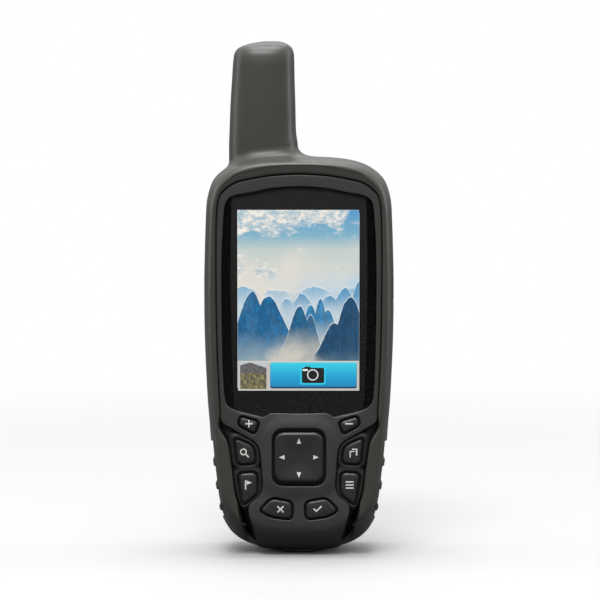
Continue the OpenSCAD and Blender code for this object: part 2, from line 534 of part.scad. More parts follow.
// ---- back: rail, camera, ports
module mount_spine() {
    color(shell_c) difference() {
        union() {
            yext(back_y + 0.02, 16.7) polygon(soft(box2(-4, 4, 89.5, 114), 1));
            yext(16.6, 18) polygon(soft(box2(-rail_w/2, rail_w/2, 89.5, 114), 2.5));
        }
        for (z = [94, 109]) { ycyl(0, z, 15, 19, 1.15); ycyl(0, z, 16.9, 19, 2.1); }
    }
}
module spine_screws() {
    color("silver") for (z = [94, 109]) difference() {
        union() { ycyl(0, z, 12.7, 17, 1); ycyl(0, z, 16.92, 17.8, 1.95); }
        ycyl(0, z, 17.2, 18, 0.8, $fn = 6);
    }
}
module camera_module() {
    color([0.08, 0.08, 0.08]) union() {
        ybox(cam_p[0] - 4.4, cam_p[0] + 4.4, 7.5, 11.8, cam_p[1] - 4.4, cam_p[1] + 4.4);
        ycyl(cam_p[0], cam_p[1], 11.7, 13.9, 2.9);
        ybox(cam_p[0] - 4, cam_p[0] - 1, -5.5, 7.6, cam_p[1] - 4.3, cam_p[1] - 4.05);
    }
}
module camera_window() { color([0.1, 0.1, 0.12]) ycyl(cam_p[0], cam_p[1], 14.32, 15.25, 4.3); }
module flash_window() { color([0.9, 0.88, 0.7]) union() { ycyl(flash_p[0], flash_p[1], 14.42, 15.25, 2.8); ycyl(flash_p[0], flash_p[1], 12.8, 14.5, 1.9); } }
module usb_socket() {
    color("silver") difference() {
        ybox(usb_p[0] - 4, usb_p[0] + 4, 5, 12.3, usb_p[1] - 2.2, usb_p[1] + 2.2);
        ybox(usb_p[0] - 3.6, usb_p[0] + 3.6, 6, 13, usb_p[1] - 1.8, usb_p[1] + 1.8);
    }
}
module usb_cap() {
    hz = usb_p[1] + 4.9;
    color(rubber_c) union() {
        yext(13.9, 15.45) polygon(soft(box2(usb_p[0] - 5.8, usb_p[0] + 5.8, usb_p[1] - 4.8, hz), 1.6));
        yext(12.9, 14) polygon(soft(box2(usb_p[0] - 3.4, usb_p[0] + 3.4, usb_p[1] - 1.7, usb_p[1] + 1.7), 0.8));
    }
}
module antenna_jack() {
    color("gold") difference() {
        union() {
            ycyl(jack_p[0], jack_p[1], 6, 13.2, 3.1);
            ybox(jack_p[0] - 3.6, jack_p[0] + 3.6, 5, 7, jack_p[1] - 3.6, jack_p[1] + 3.6);
        }
        ycyl(jack_p[0], jack_p[1], 8, 14, jack_r);
    }
}
module antenna_cap() {
    color(rubber_c) union() {
        ycyl(jack_p[0], jack_p[1], 13.9, 15.45, 4.45);
        ybox(jack_p[0] - 1.6, jack_p[0] + 1.6, 13.9, 15.45, jack_p[1] + 2, jack_p[1] + 5.1);
    }
}
module card_holder() {
    color("silver") difference() {
        ybox(-6.4, 6.4, -3.85, -2.15, 48.2, 64);
        ybox(-5.7, 5.7, -3.4, -2.5, 47, 63);
    }
}
module memory_card() { color([0.1, 0.1, 0.1]) ybox(-5.5, 5.5, -3.35, -2.6, 48.1, 62.8); }

rear_housing();
front_housing();
grip_left();
grip_right();
housing_gasket();
housing_screws();
window_lens();
lens_adhesive();
lcd_panel();
lcd_frame();
lcd_flex();
key_zoom_in();
key_zoom_out();
key_find();
key_mark();
key_page();
key_menu();
key_quit();
key_enter();
rocker_pad();
rocker_pivot();
rocker_bearing();
keypad_membrane();
key_switches();
power_button();
power_switch();
battery_cover();
battery_seal();
latch_hub();
latch_ring();
latch_cam();
aa_cell_left();
aa_cell_right();
contact_springs();
contact_plates();
main_board();
shield_cans();
board_screws();
board_chips();
antenna_core();
antenna_helix();
antenna_lead();
mount_spine();
spine_screws();
camera_module();
camera_window();
flash_window();
usb_socket();
usb_cap();
antenna_jack();
antenna_cap();
card_holder();
memory_card();
speaker();
coin_cell();
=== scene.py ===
"""Looks of the handheld navigation unit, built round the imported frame. Lengths are in millimetres until a mesh is made."""
import json
import math

import bmesh
import bpy
import numpy as np
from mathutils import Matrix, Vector
from mathutils.bvhtree import BVHTree
from mathutils.geometry import delaunay_2d_cdt


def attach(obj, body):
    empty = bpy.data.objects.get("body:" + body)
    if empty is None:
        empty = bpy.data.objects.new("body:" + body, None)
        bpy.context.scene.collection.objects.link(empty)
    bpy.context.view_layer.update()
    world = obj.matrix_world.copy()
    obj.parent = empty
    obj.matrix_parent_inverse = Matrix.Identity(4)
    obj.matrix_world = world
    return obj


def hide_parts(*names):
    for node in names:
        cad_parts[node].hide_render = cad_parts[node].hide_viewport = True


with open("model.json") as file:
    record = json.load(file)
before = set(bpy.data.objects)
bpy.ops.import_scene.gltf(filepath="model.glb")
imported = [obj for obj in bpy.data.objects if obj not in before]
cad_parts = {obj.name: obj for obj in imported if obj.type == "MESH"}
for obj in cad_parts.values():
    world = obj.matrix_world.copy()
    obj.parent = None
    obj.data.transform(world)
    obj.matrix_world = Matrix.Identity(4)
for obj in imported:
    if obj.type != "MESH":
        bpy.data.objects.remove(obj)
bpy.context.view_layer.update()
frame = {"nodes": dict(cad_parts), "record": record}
NODES = frame["nodes"]
MM = 0.001

# ------------------------------------------------------------------ camera, floor and light
ELEV = math.radians(4.0)
FLOOR = 0.455
cam_data = bpy.data.cameras.new("camera")
cam_data.lens, cam_data.sensor_width, cam_data.sensor_fit = 142.65, 36.0, "HORIZONTAL"
cam_data.clip_start, cam_data.clip_end = 0.02, 50
cam = bpy.data.objects.new("camera", cam_data)
bpy.context.scene.collection.objects.link(cam)
cam.location = (0.00033, -0.750 * math.cos(ELEV), 0.0793 + 0.750 * math.sin(ELEV))
cam.rotation_euler = (math.pi / 2 - ELEV, 0, 0)
bpy.context.scene.camera = cam
bpy.context.scene.view_settings.view_transform = "Standard"


def light(name, at, aim, size, power, colour=(1, 1, 1)):
    d = bpy.data.lights.new(name, "AREA")
    d.shape, d.size, d.size_y, d.energy, d.color = "RECTANGLE", size[0], size[1], power, colour
    o = bpy.data.objects.new(name, d)
    bpy.context.scene.collection.objects.link(o)
    o.location = at
    o.rotation_euler = (Vector(aim) - Vector(at)).to_track_quat("-Z", "Y").to_euler()
    return o


light("key", (-0.12, -0.70, 1.00), (0, 0, 0.08), (0.55, 0.30), 9.2)
light("top", (0.0, 0.02, 1.05), (0, 0, 0.08), (0.50, 0.40), 6.2)
light("back", (0.0, 0.85, 0.90), (0, 0, 0.08), (0.6, 0.4), 1.3)
light("side_left", (-0.75, 0.12, 0.30), (0, 0, 0.09), (0.16, 0.6), 1.3)
light("side_right", (0.75, 0.12, 0.30), (0, 0, 0.09), (0.16, 0.6), 1.6)

world = bpy.data.worlds.new("studio")
world.use_nodes = True
bpy.context.scene.world = world
wt = world.node_tree
wt.nodes.clear()
w_out = wt.nodes.new("ShaderNodeOutputWorld")
w_mix = wt.nodes.new("ShaderNodeMixShader")
w_path = wt.nodes.new("ShaderNodeLightPath")
w_fill = wt.nodes.new("ShaderNodeBackground")
w_back = wt.nodes.new("ShaderNodeBackground")
w_co = wt.nodes.new("ShaderNodeTexCoord")
w_sep = wt.nodes.new("ShaderNodeSeparateXYZ")
w_map = wt.nodes.new("ShaderNodeMapRange")
for k, v in (("From Min", -0.05), ("From Max", 0.95), ("To Min", 0.16), ("To Max", 1.35)):
    w_map.inputs[k].default_value = v
wt.links.new(w_co.outputs["Generated"], w_sep.inputs[0])
wt.links.new(w_sep.outputs["Z"], w_map.inputs["Value"])
wt.links.new(w_map.outputs[0], w_fill.inputs[1])
w_fill.inputs[0].default_value = (1, 1, 1, 1)
w_back.inputs[0].default_value, w_back.inputs[1].default_value = (1, 1, 1, 1), 1.0
wt.links.new(w_path.outputs["Is Camera Ray"], w_mix.inputs[0])
wt.links.new(w_fill.outputs[0], w_mix.inputs[1])
wt.links.new(w_back.outputs[0], w_mix.inputs[2])
wt.links.new(w_mix.outputs[0], w_out.inputs[0])


# ------------------------------------------------------------------ node-tree helper
class Shade:
    """A small helper for node expressions."""

    def __init__(self, name):
        self.m = bpy.data.materials.new(name)
        self.m.use_nodes = True
        self.t = self.m.node_tree
        self.t.nodes.clear()
        self.out = self.t.nodes.new("ShaderNodeOutputMaterial")
        self._obj = None

    def put(self, sock, v):
        if isinstance(v, bpy.types.NodeSocket):
            self.t.links.new(v, sock)
        elif v is not None:
            sock.default_value = v

    def n(self, kind, **props):
        node = self.t.nodes.new("ShaderNode" + kind)
        for k, v in props.items():
            setattr(node, k, v)
        return node

    def obj(self):
        if self._obj is None:
            self._obj = self.n("TexCoord").outputs["Object"]
        return self._obj

    def xyz(self, v=None):
        s = self.n("SeparateXYZ")
        self.put(s.inputs[0], v if v is not None else self.obj())
        return s.outputs

    def vec(self, x, y, z):
        c = self.n("CombineXYZ")
        for i, v in enumerate((x, y, z)):
            self.put(c.inputs[i], v)
        return c.outputs[0]

    def math(self, op, a, b=None, c=None, clamp=False):
        k = self.n("Math", operation=op, use_clamp=clamp)
        for i, v in enumerate((a, b, c)):
            self.put(k.inputs[i], v)
        return k.outputs[0]

    def scale(self, v, s):
        k = self.n("VectorMath", operation="MULTIPLY")
        self.put(k.inputs[0], v)
        k.inputs[1].default_value = s
        return k.outputs[0]

    def smooth(self, x, lo, hi, a=0.0, b=1.0):
        k = self.n("MapRange", interpolation_type="SMOOTHSTEP")
        for s, v in zip(("Value", "From Min", "From Max", "To Min", "To Max"), (x, lo, hi, a, b)):
            self.put(k.inputs[s], v)
        return k.outputs[0]

    def noise(self, scale, detail=3.0, rough=0.5, vec=None, distort=0.0, dims="3D"):
        k = self.n("TexNoise", noise_dimensions=dims)
        if dims == "1D":
            self.put(k.inputs["W"], vec)
        else:
            self.put(k.inputs["Vector"], vec if vec is not None else self.obj())
        k.inputs["Scale"].default_value = scale
        k.inputs["Detail"].default_value = detail
        k.inputs["Roughness"].default_value = rough
        k.inputs["Distortion"].default_value = distort
        return k.outputs["Fac"]

    def cells(self, scale, vec=None, feature="F1"):
        k = self.n("TexVoronoi", feature=feature)
        self.put(k.inputs["Vector"], vec if vec is not None else self.obj())
        k.inputs["Scale"].default_value = scale
        return k.outputs["Distance"]

    def ramp(self, fac, stops, mode="LINEAR"):
        k = self.n("ValToRGB")
        r = k.color_ramp
        r.interpolation = mode
        while len(r.elements) < len(stops):
            r.elements.new(0.5)
        for e, (p, c) in zip(r.elements, stops):
            e.position = p
            e.color = (*c, 1) if len(c) == 3 else c
        self.put(k.inputs[0], fac)
        return k.outputs[0]

    def mix(self, fac, a, b, mode="MIX"):
        k = self.n("Mix", data_type="RGBA", blend_type=mode)
        for s, v in ((0, fac), (6, a), (7, b)):
            if isinstance(v, tuple) and len(v) == 3:
                v = (*v, 1)
            self.put(k.inputs[s], v)
        return k.outputs[2]

    def bump(self, height, strength, distance, normal=None):
        k = self.n("Bump")
        k.inputs["Strength"].default_value = strength
        k.inputs["Distance"].default_value = distance
        self.put(k.inputs["Height"], height)
        self.put(k.inputs["Normal"], normal)
        return k.outputs[0]

    def principled(self, colour=None, rough=None, normal=None, **fixed):
        k = self.n("BsdfPrincipled")
        if isinstance(colour, tuple) and len(colour) == 3:
            colour = (*colour, 1)
        self.put(k.inputs["Base Color"], colour)
        self.put(k.inputs["Roughness"], rough)
        self.put(k.inputs["Normal"], normal)
        for name, v in fixed.items():
            k.inputs[name.replace("_", " ")].default_value = v
        return k

    def done(self, shader):
        self.t.links.new(shader.outputs[0], self.out.inputs["Surface"])
        return self.m


def shift(c, k):
    return tuple(min(1.0, v * k) for v in c)


def plastic(name, c, rough=0.5, grain=3200.0, depth=0.00004, bump=0.35, vary=0.10, wear=0.0, spec=0.5, haze=0.08, recess_shade=None):
    """Moulded plastic or rubber: fine texture in the colour, the roughness and the surface, with worn edges, and
    optional painted shade that darkens the colour deeper along Y.
    """
    s = Shade(name)
    fine = s.noise(grain, 3.0, 0.65)
    cell = s.cells(grain * 0.55)
    big = s.noise(55.0, 4.0, 0.6)
    smear = s.noise(18.0, 2.0, 0.5, s.scale(s.obj(), (1.0, 1.0, 0.35)))
    tone = s.math("ADD", s.math("MULTIPLY", fine, 0.55), s.math("MULTIPLY", big, 0.45))
    col = s.ramp(tone, [(0.28, shift(c, 1 - vary)), (0.5, c), (0.74, shift(c, 1 + vary * 1.5))])
    if wear > 0:
        edge = s.n("NewGeometry").outputs["Pointiness"]
        e = s.smooth(edge, 0.53, 0.62, 0.0, wear)
        col = s.mix(s.math("MULTIPLY", e, s.smooth(big, 0.3, 0.7)), col, shift(c, 2.2))
    # painted shade: the colour darkens deeper along Y, where a recess lies in shade
    if recess_shade:
        col = s.mix(s.smooth(s.xyz()[1], recess_shade[0], recess_shade[1]), col, shift(c, recess_shade[2]))
    r = s.math("ADD", s.math("MULTIPLY", s.math("SUBTRACT", smear, 0.5), haze * 2), rough)
    r = s.math("ADD", r, s.math("MULTIPLY", s.math("SUBTRACT", fine, 0.5), 0.16), clamp=True)
    h = s.math("ADD", s.math("MULTIPLY", fine, 0.6), s.math("MULTIPLY", cell, 0.8))
    nrm = s.bump(h, bump, depth)
    return s.done(s.principled(col, r, nrm, Specular_IOR_Level=spec))


def metal(name, c, rough=0.3, streak=(1, 1, 1), scale=1400.0, bump=0.2, vary=0.12):
    s = Shade(name)
    v = s.scale(s.obj(), streak)
    lines = s.noise(scale, 4.0, 0.6, v)
    spots = s.noise(160.0, 5.0, 0.65)
    col = s.ramp(spots, [(0.3, shift(c, 1 - vary)), (0.6, c), (0.85, shift(c, 1 + vary))])
    r = s.math("ADD", s.math("MULTIPLY", s.math("SUBTRACT", lines, 0.5), 0.25), rough)
    r = s.math("ADD", r, s.math("MULTIPLY", s.math("SUBTRACT", spots, 0.5), 0.15), clamp=True)
    return s.done(s.principled(col, r, s.bump(lines, bump, 0.00002), Metallic=1.0))


SHELL = (0.0440, 0.0420, 0.0375)
BEZEL = (0.0350, 0.0341, 0.0315)
MAT = {
    "shell_plastic": plastic("shell_plastic", SHELL, 0.41, wear=0.35),
    "bezel_plastic": plastic("bezel_plastic", BEZEL, 0.45, grain=3600.0, bump=0.25, wear=0.25),
    "grip_rubber": plastic("grip_rubber", (0.0350, 0.0335, 0.0305), 0.58, grain=2600.0, bump=0.4, spec=0.42),
    "seal_rubber": plastic("seal_rubber", (0.012, 0.012, 0.012), 0.62, grain=1800.0),
    "key_rubber": plastic("key_rubber", (0.0225, 0.0221, 0.0210), 0.34, grain=4200.0, bump=0.2, depth=0.00003, wear=0.2),
    "frame_metal": metal("frame_metal", (0.62, 0.61, 0.58), 0.34, (1, 1, 12)),
    "screw_steel": metal("screw_steel", (0.48, 0.47, 0.45), 0.28, (6, 6, 6)),
    "latch_metal": metal("latch_metal", (0.30, 0.295, 0.285), 0.33, (10, 1, 1)),
    "flex_film": plastic("flex_film", (0.42, 0.20, 0.05), 0.3, grain=900.0, depth=0.00001, vary=0.2),
    "inner_plastic": plastic("inner_plastic", (0.014, 0.014, 0.014), 0.5, grain=2000.0),
    "antenna_former": plastic("antenna_former", (0.55, 0.50, 0.40), 0.55, grain=1500.0),
    "copper": metal("copper", (0.72, 0.38, 0.22), 0.3, (1, 1, 8)),
    "brass_plated": metal("brass_plated", (0.83, 0.62, 0.28), 0.22, (1, 14, 1)),
}


def pane_material(name, tint=(0.93, 0.95, 0.96), rough=0.06, ior=1.5):
    """Clear sheet: see-through, with a reflection that grows towards the edges."""
    s = Shade(name)
    clear = s.n("BsdfTransparent")
    clear.inputs[0].default_value = (*tint, 1)
    gloss = s.n("BsdfGlossy")
    gloss.inputs["Color"].default_value = (1, 1, 1, 1)
    smear = s.noise(40.0, 3.0, 0.5)
    s.put(gloss.inputs["Roughness"], s.math("ADD", rough - 0.03, s.math("MULTIPLY", smear, 0.06)))
    fres = s.n("Fresnel")
    fres.inputs[0].default_value = ior
    mixer = s.n("MixShader")
    s.put(mixer.inputs[0], fres.outputs[0])
    s.t.links.new(clear.outputs[0], mixer.inputs[1])
    s.t.links.new(gloss.outputs[0], mixer.inputs[2])
    return s.done(mixer)


def ink_reflection_material():
    """Black ink border behind the window with a painted reflection: a charcoal band in the middle that lightens towards
    the top, black down both sides.
    """
    s = Shade("window_ink_reflection")
    x, _, z = s.xyz()
    dz = s.math("SUBTRACT", z, 0.087)
    edge = s.math("SUBTRACT", 0.0211, s.math("MULTIPLY", s.math("MULTIPLY", dz, dz), 0.62))
    side = s.smooth(s.math("SUBTRACT", s.math("ABSOLUTE", x), edge), -0.00008, 0.00008)
    fleck = s.noise(900.0, 3.0, 0.5)
    # painted reflection: charcoal laid over the black ink, lighter towards the top
    fade = s.smooth(z, 0.045, 0.116)
    grey = s.mix(fade, (0.0165, 0.0165, 0.0160), (0.0310, 0.0310, 0.0300))
    grey = s.mix(s.math("MULTIPLY", fleck, 0.10), grey, (0.020, 0.020, 0.020))
    col = s.mix(side, grey, (0.0006, 0.0006, 0.0006))
    r = s.math("ADD", 0.45, s.math("MULTIPLY", fleck, 0.08))
    return s.done(s.principled(col, r, None, Specular_IOR_Level=0.06))


def display_material():
    """The lit picture: misty hills of its own design under a cloudy sky, over a bar with a small view and a blue button."""
    s = Shade("display_picture")
    x, _, z = s.xyz()
    u = s.math("DIVIDE", s.math("ADD", x, 0.01902), 0.0377)
    v = s.math("DIVIDE", s.math("SUBTRACT", z, 0.0522), 0.056)
    p = s.vec(u, v, 0.0)

    def field(scale, detail, rough, sx=1.0, sy=1.0, seed=0.0, distort=0.0):
        q = s.vec(s.math("MULTIPLY", u, sx), s.math("MULTIPLY", v, sy), seed)
        return s.noise(scale, detail, rough, q, distort)

    # sky: haze below, blue above, broken cream cloud
    sky = s.ramp(v, [(0.50, (0.46, 0.62, 0.76)), (0.60, (0.55, 0.70, 0.80)), (0.68, (0.66, 0.70, 0.66)),
                     (0.78, (0.58, 0.66, 0.64)), (0.86, (0.22, 0.47, 0.62)), (1.0, (0.08, 0.33, 0.62))])
    glow = field(1.6, 2.0, 0.4, 1.0, 1.6, 3.1)
    sky = s.mix(s.math("MULTIPLY", s.smooth(glow, 0.42, 0.68), s.smooth(v, 0.86, 0.70)), sky, (0.80, 0.76, 0.68))
    cloud = field(3.4, 8.0, 0.62, 1.0, 2.6, 7.7, 0.5)
    cover = s.math("ADD", cloud, s.math("MULTIPLY", s.math("SUBTRACT", s.smooth(v, 0.80, 1.0), s.math("MULTIPLY", u, 0.32)), 0.26))
    shade_c = s.mix(s.smooth(field(12.0, 8.0, 0.75, 1.0, 2.6, 12.0), 0.43, 0.58), (0.42, 0.56, 0.64), (0.97, 0.91, 0.82))
    sky = s.mix(s.smooth(cover, 0.54, 0.68), sky, shade_c)
    wisps = field(9.0, 8.0, 0.7, 1.0, 2.0, 1.3, 0.3)
    sky = s.mix(s.math("MULTIPLY", s.smooth(wisps, 0.55, 0.75), s.smooth(v, 0.78, 0.9)), sky, (0.95, 0.88, 0.80))
    pic = sky

    # hills: each is a sum of round humps, far ones pale and near ones deep blue
    def humps(items, rough, seed):
        top = None
        for cx, h, w in items:
            d = s.math("DIVIDE", s.math("SUBTRACT", u, cx), w)
            bell = s.math("MULTIPLY", h, s.math("POWER", 2.718, s.math("MULTIPLY", s.math("POWER", s.math("ABSOLUTE", d), 2.1), -1.0)))
            top = bell if top is None else s.math("MAXIMUM", top, bell)
        q = s.vec(s.math("MULTIPLY", u, 1.0), seed, 0.0)
        return s.math("ADD", top, s.math("MULTIPLY", s.math("SUBTRACT", s.noise(13.0, 8.0, 0.68, q), 0.5), rough))

    def layer(pic, items, base, rough, seed, colour, mist, lo, hi, trees_k=1.7):
        tall = humps(items, rough, seed)
        line = s.math("ADD", base, tall)
        under = s.math("SUBTRACT", line, v)
        there = s.smooth(tall, 0.008, 0.05)
        inside = s.math("MULTIPLY", s.smooth(under, -0.0015, 0.0015), there)
        rim = s.math("MULTIPLY", s.smooth(under, -0.016, -0.001), s.math("SUBTRACT", there, inside))
        pic = s.mix(s.math("MULTIPLY", rim, 0.48, clamp=True), pic, (0.90, 0.93, 0.93))
        trees = field(30.0, 8.0, 0.8, 1.0, 0.55, seed)
        body = s.mix(s.smooth(trees, 0.44, 0.62), colour, shift(colour, trees_k))
        veil = s.smooth(v, lo, hi)
        puff = field(6.0, 6.0, 0.6, 1.0, 1.2, seed + 2.0)
        veil = s.math("ADD", veil, s.math("MULTIPLY", s.math("SUBTRACT", puff, 0.5), 0.7), clamp=True)
        body = s.mix(veil, mist, body)
        return s.mix(inside, pic, body)

    pic = layer(pic, [(0.05, 0.06, 0.13), (0.33, 0.04, 0.16), (0.63, 0.06, 0.14), (0.92, 0.05, 0.12)], 0.515, 0.07, 1.0,
                (0.27, 0.48, 0.66), (0.60, 0.71, 0.78), 0.46, 0.58, 1.15)
    pic = layer(pic, [(0.40, 0.05, 0.06), (0.53, 0.08, 0.075), (0.76, 0.07, 0.08), (0.88, 0.11, 0.08), (1.0, 0.15, 0.06)], 0.455, 0.07, 4.0,
                (0.10, 0.31, 0.52), (0.58, 0.68, 0.74), 0.40, 0.55, 1.3)
    pic = layer(pic, [(0.60, 0.20, 0.07), (0.68, 0.235, 0.06), (0.745, 0.17, 0.07)], 0.275, 0.06, 9.0,
                (0.020, 0.17, 0.34), (0.46, 0.55, 0.58), 0.26, 0.42)
    pic = layer(pic, [(0.12, 0.30, 0.13), (0.255, 0.275, 0.155), (0.40, 0.09, 0.10)], 0.245, 0.065, 14.0,
                (0.0005, 0.100, 0.245), (0.30, 0.42, 0.48), 0.12, 0.36)
    pic = layer(pic, [(0.51, 0.275, 0.105), (0.60, 0.225, 0.075)], 0.190, 0.06, 19.0,
                (0.0008, 0.092, 0.205), (0.44, 0.46, 0.44), 0.20, 0.38)
    pic = layer(pic, [(0.925, 0.34, 0.135), (0.80, 0.20, 0.12)], 0.175, 0.06, 23.0,
                (0.0004, 0.048, 0.120), (0.16, 0.26, 0.32), 0.06, 0.24)
    bank = field(3.2, 7.0, 0.6, 1.3, 2.2, 31.0, 0.4)
    low = s.math("SUBTRACT", 0.34, s.math("MULTIPLY", s.math("ABSOLUTE", s.math("SUBTRACT", u, 0.42)), 0.42))
    fog = s.math("MULTIPLY", s.smooth(bank, 0.38, 0.62), s.smooth(v, low, s.math("SUBTRACT", low, 0.14)))
    pic = s.mix(fog, pic, (0.66, 0.62, 0.55))

    # lower bar
    def box(x0, x1, z0, z1, r=0.006, soft=0.003):
        """1 inside a rounded rectangle given in picture widths."""
        vz = s.math("MULTIPLY", v, 1.485)
        ax = s.math("SUBTRACT", s.math("ABSOLUTE", s.math("SUBTRACT", u, (x0 + x1) / 2)), (x1 - x0) / 2 - r)
        az = s.math("SUBTRACT", s.math("ABSOLUTE", s.math("SUBTRACT", vz, (z0 + z1) / 2)), (z1 - z0) / 2 - r)
        ox, oz = s.math("MAXIMUM", ax, 0.0), s.math("MAXIMUM", az, 0.0)
        d = s.math("SUBTRACT", s.math("SQRT", s.math("ADD", s.math("MULTIPLY", ox, ox), s.math("MULTIPLY", oz, oz))), r)
        return s.smooth(d, soft / 2, -soft / 2)

    def disc(cx, cz, r, soft=0.003):
        vz = s.math("SUBTRACT", s.math("MULTIPLY", v, 1.485), cz)
        du = s.math("SUBTRACT", u, cx)
        d = s.math("SQRT", s.math("ADD", s.math("MULTIPLY", du, du), s.math("MULTIPLY", vz, vz)))
        return s.smooth(s.math("SUBTRACT", d, r), soft / 2, -soft / 2)

    bar = s.smooth(v, 0.1655, 0.1645)
    pic = s.mix(bar, pic, (0.58, 0.56, 0.53))
    pic = s.mix(box(-0.02, 1.02, 0.2365, 0.2445, 0.001), pic, (0.72, 0.68, 0.62))
    leaf = s.noise(34.0, 6.0, 0.7, p)
    dark = s.noise(60.0, 4.0, 0.7, p)
    small = s.ramp(leaf, [(0.36, (0.015, 0.015, 0.010)), (0.52, (0.14, 0.12, 0.035)), (0.68, (0.48, 0.42, 0.12))])
    slope = s.math("SUBTRACT", 0.158, s.math("MULTIPLY", s.math("ABSOLUTE", s.math("SUBTRACT", u, 0.10)), 0.22))
    rock = s.mix(s.smooth(dark, 0.35, 0.65), (0.035, 0.035, 0.04), (0.14, 0.13, 0.13))
    small = s.mix(s.smooth(v, 0.088, 0.104), small, rock)
    small = s.mix(s.smooth(s.math("SUBTRACT", v, slope), -0.004, 0.002), small, (0.55, 0.60, 0.66))
    pic = s.mix(box(0.022, 0.238, 0.014, 0.232, 0.001), pic, small)
    pic = s.mix(box(0.268, 0.980, 0.018, 0.232, 0.016), pic, (0.0, 0.045, 0.11))
    blue = s.ramp(v, [(0.02, (0.001, 0.25, 0.54)), (0.075, (0.003, 0.37, 0.68)), (0.145, (0.03, 0.62, 0.82)), (0.158, (0.06, 0.74, 0.88))])
    pic = s.mix(box(0.270, 0.978, 0.032, 0.233, 0.016), pic, blue)
    pic = s.mix(box(0.514, 0.724, 0.050, 0.200, 0.022, 0.012), pic, (0.02, 0.66, 0.86))
    body = s.math("MAXIMUM", box(0.528, 0.712, 0.062, 0.188, 0.014), box(0.548, 0.60, 0.17, 0.198, 0.008))
    pic = s.mix(body, pic, (0.0, 0.0, 0.0))
    ring = s.math("SUBTRACT", disc(0.618, 0.130, 0.046), disc(0.618, 0.130, 0.038))
    pic = s.mix(ring, pic, (0.92, 0.95, 0.95))
    pic = s.mix(box(0.534, 0.578, 0.162, 0.178, 0.006), pic, (0.92, 0.95, 0.95))
    # thin bright rim of the lit area, and the faint grid of the picture elements
    inner = box(0.004, 0.996, 0.004, 1.481, 0.001)
    pic = s.mix(s.math("MULTIPLY", s.math("SUBTRACT", 1.0, inner), 0.35), pic, (0.75, 0.80, 0.82))
    gx = s.math("SINE", s.math("MULTIPLY", x, 2 * math.pi / 0.000155))
    gz = s.math("SINE", s.math("MULTIPLY", z, 2 * math.pi / 0.000155))
    grid = s.math("ADD", 1.0, s.math("MULTIPLY", s.math("MULTIPLY", gx, gz), 0.02))
    k = s.principled((0.0012, 0.0012, 0.0015), 0.30, None, Specular_IOR_Level=0.04)
    s.put(k.inputs["Emission Color"], s.mix(1.0, pic, s.vec(grid, grid, grid), "MULTIPLY"))
    k.inputs["Emission Strength"].default_value = 0.98
    return s.done(k)


def print_material(name, c):
    """White print on the keys, a little worn."""
    s = Shade(name)
    fine = s.noise(6000.0, 3.0, 0.6)
    spots = s.noise(900.0, 3.0, 0.6)
    col = s.ramp(s.math("ADD", s.math("MULTIPLY", fine, 0.5), s.math("MULTIPLY", spots, 0.5)), [(0.3, shift(c, 0.72)), (0.48, c), (0.8, shift(c, 1.06))])
    return s.done(s.principled(col, s.math("ADD", 0.4, s.math("MULTIPLY", spots, 0.2)), s.bump(fine, 0.2, 0.00001)))


def jacket_material():
    """Cell jacket: blue with plain metal at both ends."""
    s = Shade("cell_jacket")
    _, _, z = s.xyz()
    wob = s.noise(60.0, 3.0, 0.5)
    base = s.ramp(s.math("DIVIDE", s.math("SUBTRACT", z, 0.030), 0.051), [(0.0, (0.55, 0.55, 0.54)), (0.03, (0.02, 0.075, 0.20)), (0.5, (0.025, 0.095, 0.24)), (0.965, (0.02, 0.075, 0.20)), (1.0, (0.55, 0.55, 0.54))])
    base = s.mix(s.math("MULTIPLY", s.smooth(wob, 0.4, 0.7), 0.3), base, (0.05, 0.13, 0.28))
    fine = s.noise(1500.0, 3.0, 0.5)
    return s.done(s.principled(base, s.math("ADD", 0.28, s.math("MULTIPLY", fine, 0.12)), s.bump(fine, 0.1, 0.00001), Metallic=0.35))


def board_material():
    """Green circuit board with fine copper routes under the mask."""
    s = Shade("board_green")
    x, _, z = s.xyz()
    q = s.vec(s.math("SNAP", x, 0.0008), 0.0, s.math("SNAP", z, 0.0016))
    track = s.noise(420.0, 2.0, 0.5, q)
    fine = s.noise(2400.0, 3.0, 0.5)
    col = s.ramp(track, [(0.40, (0.008, 0.070, 0.030)), (0.5, (0.012, 0.105, 0.045)), (0.6, (0.020, 0.16, 0.065))], "EASE")
    h = s.math("ADD", s.smooth(track, 0.45, 0.55), s.math("MULTIPLY", fine, 0.3))
    return s.done(s.principled(col, s.math("ADD", 0.3, s.math("MULTIPLY", fine, 0.15)), s.bump(h, 0.3, 0.00002)))


def dark_glass():
    """Deep tinted window in front of the camera, with faint coated rings under the gloss."""
    s = Shade("camera_glass")
    x, _, z = s.xyz()
    dx, dz = s.math("ADD", x, 0.0126), s.math("SUBTRACT", z, 0.107)
    r = s.math("SQRT", s.math("ADD", s.math("MULTIPLY", dx, dx), s.math("MULTIPLY", dz, dz)))
    col = s.ramp(s.math("DIVIDE", r, 0.0046), [(0.0, (0.001, 0.001, 0.002)), (0.26, (0.012, 0.010, 0.030)), (0.32, (0.002, 0.002, 0.003)),
                                               (0.50, (0.003, 0.003, 0.004)), (0.53, (0.030, 0.030, 0.032)), (0.57, (0.003, 0.003, 0.003)), (1.0, (0.006, 0.006, 0.006))])
    smear = s.noise(220.0, 3.0, 0.5)
    k = s.principled(col, s.math("ADD", 0.05, s.math("MULTIPLY", smear, 0.08)), None, Specular_IOR_Level=0.6)
    k.inputs["Coat Weight"].default_value = 0.6
    return s.done(k)


